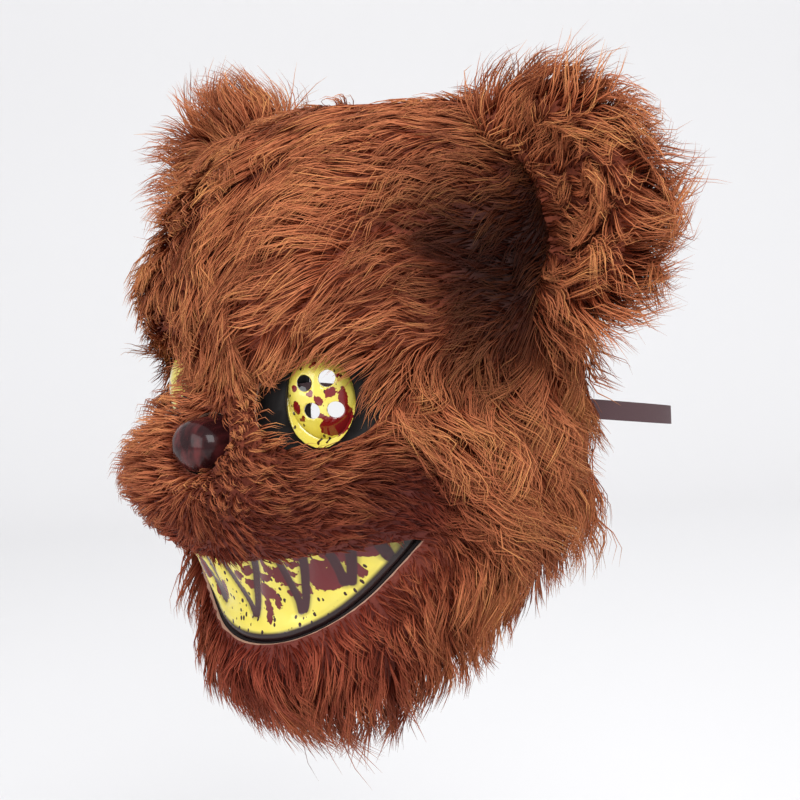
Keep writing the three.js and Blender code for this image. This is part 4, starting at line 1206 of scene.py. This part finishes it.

# %% [markdown]
# ## How the face is combed
#
# A short table gives, for places on one side of the face, the way the fur runs, its length in
# millimetres, its lift, redness and painted shade. Points between them blend the nearest rows. A
# second table ruffles the wearer's right side alone.

# %% Combing table
# Places are x, y and z in millimetres on the side of +X, and ways are mirrored with them.
COMB = [
    # place            way              length lift  red  shade
    ((0, 20, 102), (0.0, -1.0, -0.1), 22, 0.18, 0.0, 0.0),
    ((0, 55, 108), (-0.1, -1.0, 0.0), 16, 0.32, 0.0, 0.0),
    ((40, 45, 100), (-0.3, -1.0, 0.1), 20, 0.16, 0.0, 0.0),
    ((32, 75, 105), (-0.2, -1.0, 0.1), 16, 0.34, 0.0, 0.0),
    ((0, -10, 70), (-0.1, -0.7, -0.9), 25, 0.34, 0.0, 0.0),
    ((45, 0, 75), (-0.6, -0.9, -0.3), 26, 0.34, 0.0, 0.0),
    ((60, 12, 86), (-0.5, -1.0, -0.1), 24, 0.25, 0.0, 0.0),
    ((70, 34, 80), (-0.3, -1.0, 0.0), 24, 0.3, 0.0, 0.3),
    # Painted shade: the hollow between the forehead and the ear
    ((77, 24, 58), (-0.1, -1.0, -0.1), 20, 0.16, 0.0, 1.0),
    ((78, 24, 42), (-0.1, -1.0, -0.1), 20, 0.16, 0.0, 1.0),
    ((79, 38, 46), (-0.1, -1.0, -0.1), 18, 0.14, 0.0, 1.0),
    ((80, 50, 60), (-0.1, -1.0, -0.1), 18, 0.14, 0.0, 1.0),
    ((79, 32, 28), (-0.1, -1.0, -0.2), 22, 0.2, 0.0, 0.9),
    ((0, -35, 32), (0.0, -0.3, -1.0), 22, 0.4, 0.0, 0.0),
    ((35, -30, 38), (-0.6, -0.5, -0.6), 25, 0.42, 0.0, 0.0),
    ((30, -33, 23), (-1.0, -0.3, -0.2), 13, 0.3, 0.0, 0.1),
    ((50, -20, 23), (-1.0, -0.8, -0.15), 13, 0.26, 0.0, 0.1),
    ((65, 0, 36), (-0.5, -1.0, -0.2), 24, 0.34, 0.0, 0.0),
    ((66, -2, 22), (-0.5, -1.0, -0.1), 15, 0.26, 0.0, 0.1),
    ((82, 78, 30), (0.0, 0.5, -1.0), 24, 0.3, 0.0, 0.1),
    ((0, -38, 10), (0.3, 0.0, -0.6), 10, 0.3, 0.0, 0.1),
    ((0, -45, -7), (0.1, -0.4, -1.0), 6, 0.35, 0.0, 0.0),
    ((14, -45, -9), (0.6, -0.2, -0.8), 7, 0.35, 0.0, 0.0),
    ((18, -35, -2), (0.9, 0.2, 0.1), 10, 0.3, 0.0, 0.1),
    ((22, -46, -18), (1.0, 0.3, -0.1), 9, 0.4, 0.0, 0.0),
    ((0, -52, -28), (0.2, -0.3, 0.8), 10, 1.7, 0.0, 0.0),
    ((13, -50, -26), (0.8, -0.1, 0.4), 10, 1.4, 0.0, 0.0),
    ((32, -37, -7), (0.8, 0.1, 0.8), 14, 0.9, 0.0, 0.0),
    ((50, -25, -8), (0.9, 0.3, 0.5), 14, 0.9, 0.0, 0.0),
    ((0, -52, -38), (0.2, -0.1, -1.0), 14, 0.38, 0.1, 0.0),
    ((28, -45, -30), (0.9, 0.3, -0.4), 14, 0.4, 0.1, 0.0),
    ((50, -30, -30), (0.8, 0.5, -0.5), 17, 0.42, 0.1, 0.0),
    # Above the mouth, red is the blood-red colour and shade is painted shade
    ((0, -52, -48), (0.3, 0.1, -1.0), 8, 0.3, 0.8, 0.2),
    ((18, -50, -45), (0.9, 0.3, -0.4), 7, 0.2, 1.0, 0.4),
    ((38, -43, -42), (0.9, 0.5, -0.1), 7, 0.16, 1.0, 0.7),
    ((62, -12, -42), (0.7, 0.9, -0.05), 8, 0.16, 1.0, 0.7),
    ((0, -50, -60), (0.6, 0.1, -0.2), 3, 0.3, 0.8, 0.0),
    ((20, -46, -58), (0.9, 0.2, 0.0), 3, 0.2, 0.8, 0.0),
    ((38, -38, -55), (0.9, 0.5, 0.1), 3, 0.2, 0.8, 0.0),
    ((62, -8, -50), (0.7, 0.9, 0.1), 4, 0.2, 0.9, 0.2),
    ((72, 5, 5), (0.2, 0.15, -1.0), 22, 0.34, 0.0, 0.0),
    ((80, 45, 0), (0.1, 0.15, -1.0), 28, 0.34, 0.0, 0.0),
    ((82, 78, 0), (0.0, 0.1, -1.0), 24, 0.18, 0.0, 0.0),
    ((78, 20, -35), (0.1, 0.2, -1.0), 30, 0.36, 0.0, 0.0),
    ((80, 70, -40), (0.0, 0.05, -1.0), 26, 0.2, 0.0, 0.0),
    ((72, 30, -65), (0.1, 0.2, -1.0), 26, 0.3, 0.0, 0.0),
    ((60, 20, -90), (0.1, 0.15, -1.0), 20, 0.28, 0.2, 0.0),
    ((68, 55, -75), (0.0, 0.0, -1.0), 20, 0.2, 0.3, 0.0),
    ((66, 8, -72), (0.4, 0.4, -1.0), 14, 0.26, 0.4, 0.0),
    ((40, -10, -92), (0.4, 0.2, -1.0), 10, 0.3, 0.8, 0.0),
    ((0, -28, -104), (0.1, 0.0, -1.0), 12, 0.36, 0.9, 0.0),
    ((35, -12, -110), (0.2, 0.1, -1.0), 20, 0.36, 0.7, 0.0),
    ((0, -18, -120), (0.0, 0.0, -1.0), 25, 0.36, 0.6, 0.0),
    ((30, 5, -124), (0.1, 0.0, -1.0), 27, 0.34, 0.5, 0.0),
]
COMB_REACH = 18.0
# The wearer's right side is ruffled forwards; these places are on that side alone
RUFFLED = [
    ((-28, -42, -6), (0.6, -0.8, 0.3), 15, 0.9, 0.0, 0.0),
    ((-32, -44, -22), (0.6, -0.8, 0.0), 13, 0.7, 0.0, 0.0),
    ((-46, -34, -40), (0.6, -0.7, -0.4), 14, 0.6, 0.5, 0.0),
    ((-62, -8, -54), (0.5, -0.9, -0.4), 21, 0.9, 0.5, 0.0),
    ((-54, -14, -74), (0.5, -0.8, -0.6), 21, 0.8, 0.5, 0.0),
    ((-44, -10, -94), (0.5, -0.6, -0.8), 20, 0.6, 0.6, 0.0),
]
RUFFLED_WEIGHT = 3.0
print("comb rows:", len(COMB), "and", len(RUFFLED), "on one side")


# %% Combing
def combed(points, normals):
    """The five fur attributes at each point of a grid, mirrored in x apart from RUFFLED."""
    sides = np.where(points[..., 0] < 0, -1.0, 1.0)
    folded = points / MM * np.stack([sides, sides * 0 + 1, sides * 0 + 1], -1)
    rows = COMB + RUFFLED
    ways = np.array([row[1] for row in rows], float)
    others = np.array([row[2:] for row in rows], float)

    def nearness(place, table):
        places = np.array([row[0] for row in table], float)
        distance = np.linalg.norm(place[..., None, :] - places, axis=-1)
        return np.exp(-((distance / COMB_REACH) ** 2)), distance

    weight, distance = nearness(folded, COMB)
    weight = weight + 1e-9 / (1 + distance**4)
    ruffled, _ = nearness(points / MM, RUFFLED)
    ruffled = RUFFLED_WEIGHT * ruffled * (sides < 0)[..., None]
    weight = np.concatenate([weight, ruffled], -1)
    weight /= weight.sum(-1, keepdims=True)
    way = weight @ ways
    way[..., 0] *= sides * np.clip(np.abs(points[..., 0]) / (8 * MM), 0, 1)
    way -= normals * (way * normals).sum(-1, keepdims=True)
    way /= np.maximum(np.linalg.norm(way, axis=-1, keepdims=True), 1e-9)
    rest = weight @ others
    return {
        "lay": way,
        "fur_length": rest[..., 0] * MM,
        "lift": rest[..., 1],
        "red": rest[..., 2],
        "shade": rest[..., 3],
    }


comb = combed(FACE, NORMALS)
lengths = comb["fur_length"] / MM
print("fur length:", np.round(lengths.min()), "to", np.round(lengths.max()), "mm")

# %% [markdown]
# ## Plush panels
#
# Each panel is a skin over some cells of the face grid. The cloth stands for the backing with its
# flattened pile. It is thickest on the forehead, swells over the brow, and thins out towards the
# crown, the side edges and the openings, where the real plush is cut.

# %% Cloth thickness
CLOTH_INNER = 0.35 * MM
EDGE_CLOTH = 0.9 * MM
EDGE_TAPER = 8 * MM
BROW_SWELL = 3.0 * MM
CLOTH_AT = [-130, -110, -72, -32, 0, 32, 68, 102, 114]
CLOTH_DEEP = [2, 4, 4, 3.4, 4, 5, 4.2, 2.4, 1.6]
level = HEIGHTS[:, None] / MM
turns = np.degrees(np.abs(TURNS))[None]
deep = np.interp(HEIGHTS / MM, CLOTH_AT, CLOTH_DEEP)
cloth_outer = deep[:, None] * np.clip((90.5 - turns) / 14, 0.35, 1) * MM
over_seam = level - BROW_SEAM / MM
brow = np.exp(-((over_seam / 12) ** 2)) * np.clip((over_seam + 0.5) * 4, 0, 1)
cloth_outer = cloth_outer + BROW_SWELL * brow * np.clip((76 - turns) / 20, 0, 1)
fur_cuts = [(view, oval_outline(EYE_FUR_SIZE)) for view in EYES.values()]
fur_cuts += [(nose_plane, oval_outline(NOSE_SIZE, 0.3 * MM)), (front_plane, mouth_outline(0.3 * MM))]


def from_outline(view, outline):
    """How far each point of the face lies from an opening's outline, in its view."""
    flat = in_plane(FACE, view)[..., None, :]
    starts, along = outline, np.roll(outline, -1, axis=0) - outline
    share = np.clip(((flat - starts) * along).sum(-1) / np.maximum((along**2).sum(1), 1e-18), 0, 1)
    nearest = starts + along * share[..., None]
    distance = np.linalg.norm(nearest - flat, axis=-1).min(-1)
    return np.where(facing(view), distance, 1.0)


near_edge = np.minimum.reduce([from_outline(view, outline) for view, outline in fur_cuts])
taper = np.clip(near_edge / EDGE_TAPER, 0, 1) ** 0.7
cloth_outer = EDGE_CLOTH + (cloth_outer - EDGE_CLOTH) * taper
print("cloth:", round(cloth_outer.min() / MM, 2), "to", round(cloth_outer.max() / MM, 2), "mm thick")

# %% Fur at the mouth
# Fur over the upper lip ends at the mouth, and fur under it hangs long enough to hide the cloth
SHORTEST_ABOVE = 2 * MM
SHORTEST_BELOW = 9 * MM
LIP_BAND = 25 * MM
lip_away = from_outline(front_plane, mouth_outline(0.3 * MM))
beside = np.clip(FACE[..., 0], -MOUTH_HALF, MOUTH_HALF)
over_lip = (np.abs(FACE[..., 0]) < MOUTH_HALF) & (FACE[..., 2] > upper_edge(beside) - 1 * MM)
over_lip &= FACE[..., 2] < MOUTH_TOP + LIP_BAND
under_lip = FACE[..., 2] < lower_edge(beside) + 1 * MM
short = np.minimum(comb["fur_length"], SHORTEST_ABOVE + 0.6 * lip_away)
long = np.maximum(comb["fur_length"], SHORTEST_BELOW)
comb["fur_length"] = np.where(over_lip, short, comb["fur_length"])
comb["fur_length"] = np.where(under_lip, long, comb["fur_length"])
print("points over the lip:", int(over_lip.sum()), "and under it:", int(under_lip.sum()))

# %% Panels and their looks
cell_z = (HEIGHTS[:-1] + HEIGHTS[1:])[:, None] / 2 + np.zeros((1, COLUMNS - 1))
cell_turn = np.degrees(TURNS[:-1] + TURNS[1:])[None] / 2 + np.zeros((ROWS - 1, 1))
above = cell_z > BROW_SEAM
below = cell_z < LIP_SEAM
between = ~above & ~below
# Which cells, strands per square metre, seed
PANELS = {
    "forehead_fur": (above, 262000, 11),
    "muzzle_fur": (between & (np.abs(cell_turn) < MUZZLE_SEAM), 560000, 12),
    "cheek_fur_left": (between & (cell_turn > MUZZLE_SEAM), 480000, 13),
    "cheek_fur_right": (between & (cell_turn < -MUZZLE_SEAM), 480000, 14),
    "jaw_fur": (below, 420000, 15),
}
CHEEKS = {
    "Points": 6, "Width": 0.00028, "Lock": 0.013, "Gather": 0.9,
    "Wave": 0.15, "Curl": 6.0, "Droop": 0.08,
}
LOOKS = {
    "forehead_fur": {
        "Width": 0.00026, "Lock": 0.019, "Gather": 0.55,
        "Wave": 0.15, "Stray": 0.1, "Droop": 0.06,
    },
    "muzzle_fur": {
        "Width": 0.00024, "Lock": 0.012, "Gather": 0.35,
        "Wave": 0.12, "Stray": 0.14, "Droop": 0.04,
    },
    "cheek_fur_left": CHEEKS,
    "cheek_fur_right": CHEEKS,
    "jaw_fur": {
        "Width": 0.00026, "Lock": 0.014, "Gather": 0.55,
        "Wave": 0.14, "Stray": 0.12, "Droop": 0.1,
    },
    "ear": {
        "Points": 5, "Width": 0.00028, "Lock": 0.016, "Gather": 0.85,
        "Wave": 0.14, "Curl": 5.0, "Flow": 1.5, "Droop": 0.02,
    },
}
# What the materials read; the rest is only needed while growing
KEPT_ATTRIBUTES = {"along", "across", "pick", "patch", "red", "shade"}
KEPT_ATTRIBUTES |= {"position", "sharp_face", "material_index"}
print("panels:", list(PANELS))


# %% Grow the panels
def grow(mesh, name, nodes, slot, density, seed, look):
    """Grows fur on a cloth and keeps cloth and strands as one plain mesh."""
    mesh.materials.append(cloth_material)
    mesh.materials.append(cut_edge)
    piece = bpy.data.objects.new(name, mesh)
    bpy.context.scene.collection.objects.link(piece)
    maker = piece.modifiers.new("fur", "NODES")
    maker.node_group = fur_tree
    items = fur_tree.interface.items_tree
    sockets = {item.name: item.identifier for item in items if item.in_out == "INPUT"}
    for key, value in {"Density": float(density), "Seed": seed, **look}.items():
        maker[sockets[key]] = value
    maker[sockets["Strand Material"]] = strand_material
    made = settled(piece)
    spare = [
        layer.name
        for layer in made.attributes
        if layer.name not in KEPT_ATTRIBUTES and not layer.is_required and not layer.is_internal
    ]
    for layer_name in spare:
        made.attributes.remove(made.attributes[layer_name])
    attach(piece, "root")
    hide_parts(*nodes)
    made.calc_loop_triangles()
    print(name, "has", len(made.loop_triangles), "triangles")
    return piece


for name, (keep, density, seed) in PANELS.items():
    cloth = skin(name + "_cloth", cloth_outer, flat_grid + CLOTH_INNER, keep, fur_cuts, comb)
    slot = "jaw_fur" if name == "jaw_fur" else "fur"
    grow(cloth, "plush_" + name, [name], slot, density, seed, LOOKS[name])

# %% [markdown]
# ## Ears
#
# Each ear is a padded disc, cupped in front. Points that would sink into the head rest on it, and
# no fur grows there. The fur runs outwards from the foot of the cup, and painted shade darkens the cup.

# %% Ear disc
EAR_RADIUS = 43 * MM
EAR_THICK = 20 * MM
EAR_CUP = 11 * MM
EAR_YAW = math.radians(10)
# The middle of the left ear, and how far a sunk point is lifted off the head, in millimetres
EAR_CENTRE = (88.0, 57.4, 67.0)
EAR_SEAT = 3
HEAD_BACK = 0.0815
# Rings of the disc, from the cup over the rim to the back: share of the radius, of the thickness
EAR_PROFILE = [
    (0.02, 0.42), (0.25, 0.42), (0.45, 0.46), (0.62, 0.58), (0.76, 0.66), (0.88, 0.62), (0.96, 0.44),
    (1, 0.12), (0.98, -0.14), (0.9, -0.3), (0.75, -0.42), (0.5, -0.5), (0.25, -0.5), (0.02, -0.5),
]
EAR_SPOKES = 48


def ear_disc(centre, out, front):
    """Points and faces of a closed disc."""
    angle = np.linspace(0, 2 * math.pi, EAR_SPOKES, endpoint=False)
    points = []
    for ring, depth in EAR_PROFILE:
        cup = EAR_CUP * (1 - ring * ring)
        for a in angle:
            points.append(
                centre + out * math.cos(a) * ring * EAR_RADIUS
                + np.array([0, 0, 1]) * math.sin(a) * ring * EAR_RADIUS
                + front * (depth * EAR_THICK - cup)
            )
    faces = []
    for r in range(len(EAR_PROFILE) - 1):
        for k in range(EAR_SPOKES):
            a, b = r * EAR_SPOKES + k, r * EAR_SPOKES + (k + 1) % EAR_SPOKES
            faces.append([a, a + EAR_SPOKES, b + EAR_SPOKES, b])
    last = (len(EAR_PROFILE) - 1) * EAR_SPOKES
    faces.append(list(range(EAR_SPOKES)))
    faces.append([last + k for k in reversed(range(EAR_SPOKES))])
    return np.array(points), faces


def rested(points):
    """The points moved out of the head, and which of them were moved."""
    seated = points.copy()
    sunk = np.zeros(len(points), bool)
    for i, point in enumerate(points):
        hit, normal, _, _ = face_tree.find_nearest(Vector(point))
        if (Vector(point) - hit).dot(normal) < EAR_SEAT * MM and abs(point[1]) < HEAD_BACK:
            seated[i] = np.array(hit + normal * EAR_SEAT * MM)
            sunk[i] = True
    return seated, sunk


print("ear disc:", len(EAR_PROFILE) * EAR_SPOKES, "points")


# %% Ears
def ear_mesh(side):
    centre = np.array([side * EAR_CENTRE[0], EAR_CENTRE[1], EAR_CENTRE[2]]) * MM
    out = np.array([side * math.cos(EAR_YAW), math.sin(EAR_YAW), 0])
    front = np.array([side * math.sin(EAR_YAW), -math.cos(EAR_YAW), 0])
    points, faces = ear_disc(centre, out, front)
    seated, sunk = rested(points)
    if side < 0:
        faces = [list(reversed(face)) for face in faces]
    mesh = bpy.data.meshes.new("ear")
    mesh.from_pydata([tuple(p) for p in seated], [], faces)
    mesh.polygons.foreach_set("use_smooth", [True] * len(faces))
    grows = [0.0 if all(sunk[i] for i in face) else 1.0 for face in faces]
    mesh.attributes.new("grows", "FLOAT", "FACE").data.foreach_set("value", grows)
    mesh.update()
    normals = np.array([vertex.normal for vertex in mesh.vertices])
    start = centre - out * 0.55 * EAR_RADIUS - np.array([0, 0, 0.12 * EAR_RADIUS])
    way = seated - start
    way -= normals * (way * normals).sum(-1, keepdims=True)
    way += np.array([0, 0, -0.15]) * EAR_RADIUS * 0.3
    way /= np.maximum(np.linalg.norm(way, axis=-1, keepdims=True), 1e-9)
    from_centre = np.linalg.norm(seated - centre, axis=-1) / EAR_RADIUS
    # Painted shade: fur near the foot of the cup is darkened, as the cup shades it
    hollow = start - np.array([0, 0, 0.3 * EAR_RADIUS])
    shade = np.clip(1.15 - np.linalg.norm(seated - hollow, axis=-1) / (0.72 * EAR_RADIUS), 0, 1)
    for key, value in (
        ("fur_length", 23 * MM * np.clip(0.65 + 0.4 * from_centre, 0.6, 1.05)),
        ("lift", np.full(len(points), 0.42)),
        ("red", np.full(len(points), 0.0)),
        ("shade", shade),
    ):
        mesh.attributes.new(key, "FLOAT", "POINT").data.foreach_set("value", value)
    mesh.attributes.new("lay", "FLOAT_VECTOR", "POINT").data.foreach_set("vector", way.ravel())
    return mesh


for label, side in (("left", 1), ("right", -1)):
    ear = grow(ear_mesh(side), "plush_ear_" + label, ["ear_" + label], "fur", 400000, 20 + side, LOOKS["ear"])

# %% [markdown]
# ## Strap
#
# The strap is one loop of flat woven elastic, held by a rivet inside each side edge. Its route is
# half of a flattened oval, mirrored, with a straight tab at each end. A ribbon section is carried
# along it, and the weave is a bump on the distance travelled.

# %% Strap route
strap_low, strap_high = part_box("strap")
STRAP_WIDTH = 8 * MM
STRAP_THICK = 1.2 * MM
STRAP_SWELL = 0.8
edge_y = shell_high.y
ends_z = strap_high.z - STRAP_WIDTH / 2
back_z = strap_low.z + STRAP_WIDTH / 2
half_x = strap_high.x - STRAP_THICK / 2
angles = np.linspace(0, math.pi / 2, 49)
bend_x = half_x * np.cos(angles).clip(0) ** STRAP_SWELL
bend_y = edge_y + (strap_high.y - STRAP_THICK / 2 - edge_y) * np.sin(angles)
bend_z = ends_z + (back_z - ends_z) * np.sin(angles)
half = np.stack([bend_x, bend_y, bend_z], -1)
half[-1, 0] = 0
tab_y = [strap_low.y + k * (edge_y - strap_low.y) / 6 for k in range(6)]
tab = np.array([[half_x - 0.1 * MM, y, ends_z] for y in tab_y])
half = np.concatenate([tab, half])
route = np.concatenate([half, half[-2::-1] * np.array([-1, 1, 1])])
along = np.gradient(route, axis=0)
along[:, 2] = 0
along /= np.linalg.norm(along, axis=1, keepdims=True)
outside = np.stack([along[:, 1], -along[:, 0], along[:, 0] * 0], 1)
travel = np.concatenate([[0], np.cumsum(np.linalg.norm(np.diff(route, axis=0), axis=1))])
print("strap:", round(travel[-1], 3), "m long")

# %% Strap ribbon
# The section: shares of the half thickness and of the half width
SECTION = [(-1, h) for h in (-1, -0.5, 0, 0.5, 1)] + [(1, h) for h in (1, 0.5, 0, -0.5, -1)]
upright = np.array([0, 0, STRAP_WIDTH / 2])
points = np.concatenate([
    place + [way * (t * STRAP_THICK / 2) + upright * h for t, h in SECTION]
    for place, way in zip(route, outside)
])
around = len(SECTION)
faces = []
for i in range(len(route) - 1):
    for k in range(around):
        a, b = i * around + k, i * around + (k + 1) % around
        faces.append([a, b, b + around, a + around])
faces.append([k for k in reversed(range(around))])
faces.append([(len(route) - 1) * around + k for k in range(around)])
strap_mesh = bpy.data.meshes.new("strap")
strap_mesh.from_pydata([tuple(p) for p in points], [], faces)
weave_place = np.array([[at / MM, h * STRAP_WIDTH / 2 / MM, 0] for at in travel for _, h in SECTION])
strap_mesh.attributes.new("weave", "FLOAT_VECTOR", "POINT").data.foreach_set("vector", weave_place.ravel())
print("strap:", len(faces), "faces")

# %% Elastic
elastic, build, shader = material("woven_elastic", 0.75, linear(78, 50, 54))
split = build.put("ShaderNodeSeparateXYZ", None, {"Vector": attribute(build, "weave", "Vector")})
ribs = build.math("SINE", build.times(split.outputs["X"], 7.0))
lines = build.math("SINE", build.times(split.outputs["Y"], 9.0))
weave = build.times(ribs, lines)
bump = build.put("ShaderNodeBump", None, {"Strength": 0.5, "Distance": 0.3 * MM, "Height": weave})
build.feed(shader.inputs["Normal"], bump.outputs["Normal"])
woven = build.mix(build.remap(weave, -1, 1), linear(62, 38, 42), linear(96, 66, 70))
build.feed(shader.inputs["Base Color"], woven)
add_piece(strap_mesh, "elastic_strap", "elastic", ["strap"], elastic)
print("elastic:", len(elastic.node_tree.nodes), "nodes")

# %% [markdown]
# ## Rivets
#
# The CAD rivets are good as they are and only get a metal finish.

# %% Rivets
steel, _, shader = material("rivet_steel", 0.3, linear(150, 150, 150))
shader.inputs["Metallic"].default_value = 1.0
for name in ("rivet_left", "rivet_right"):
    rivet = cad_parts[name]
    rivet.data.materials.clear()
    rivet.data.materials.append(steel)
print("rivets:", steel.name)

# %% [markdown]
# ## Floor and light
#
# A pale floor curves up into a backdrop behind the mask. It stands far enough away that the mask
# can be looked at from behind as well. Three soft area lights and a pale world light it.

# %% Floor
FLOOR = -0.3
WALL = 1.95
WALL_TALL = 3.6
CURVE = 0.5
NEAR_END = 3
HALF_WIDE = 4


def sweep_mesh():
    """A floor that curves up into a backdrop, turned to face the camera."""
    far = Vector((-back.x, -back.y, 0)).normalized()
    aside = Vector((far.y, -far.x, 0))
    profile = [(-NEAR_END, 0), (WALL - CURVE, 0)]
    bends = np.linspace(0.1, math.pi / 2, 14)
    profile += [(WALL - CURVE + CURVE * math.sin(a), CURVE - CURVE * math.cos(a)) for a in bends]
    profile += [(WALL, WALL_TALL)]
    points = []
    for distance, height in profile:
        for s in (-HALF_WIDE, HALF_WIDE):
            points.append(tuple(far * distance + aside * s + Vector((0, 0, FLOOR + height))))
    faces = [[2 * i, 2 * i + 1, 2 * i + 3, 2 * i + 2] for i in range(len(profile) - 1)]
    mesh = bpy.data.meshes.new("backdrop")
    mesh.from_pydata(points, [], faces)
    mesh.polygons.foreach_set("use_smooth", [True] * len(faces))
    return mesh


paper, _, _ = material("pale_paper", 0.9, (0.765, 0.76, 0.76, 1))
backdrop = bpy.data.objects.new("backdrop", sweep_mesh())
backdrop.data.materials.append(paper)
bpy.context.scene.collection.objects.link(backdrop)
stage = [backdrop]
print("backdrop:", len(backdrop.data.polygons), "faces")


# %% Light
def area_light(name, turned_by, height, distance, size, power):
    data = bpy.data.lights.new(name, "AREA")
    data.size = size
    data.energy = power
    light = bpy.data.objects.new(name, data)
    angle = math.radians(CAMERA_TURN + turned_by)
    light.location = (math.sin(angle) * distance, -math.cos(angle) * distance, height)
    light.rotation_euler = (Vector((0, 0.02, 0)) - light.location).to_track_quat("-Z", "Y").to_euler()
    bpy.context.scene.collection.objects.link(light)
    stage.append(light)


area_light("key", 20, 1.1, 1.3, 1.0, 24)
area_light("fill", -50, 0.5, 1.5, 1.2, 14)
area_light("back", 150, 1.6, 1.2, 1.2, 10)
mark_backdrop(*stage)
world = bpy.data.worlds.new("studio")
world.use_nodes = True
world.node_tree.nodes["Background"].inputs["Color"].default_value = (0.95, 0.96, 1.0, 1)
world.node_tree.nodes["Background"].inputs["Strength"].default_value = 0.75
bpy.context.scene.world = world
bpy.context.scene.view_settings.view_transform = "Standard"
print("lights:", len(stage) - 1)

# %% Finish
size = {
    "at_start": [list(corner) for corner in box_at_start],
    "at_finish": [list(corner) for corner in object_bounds()],
}
print("box:", size)
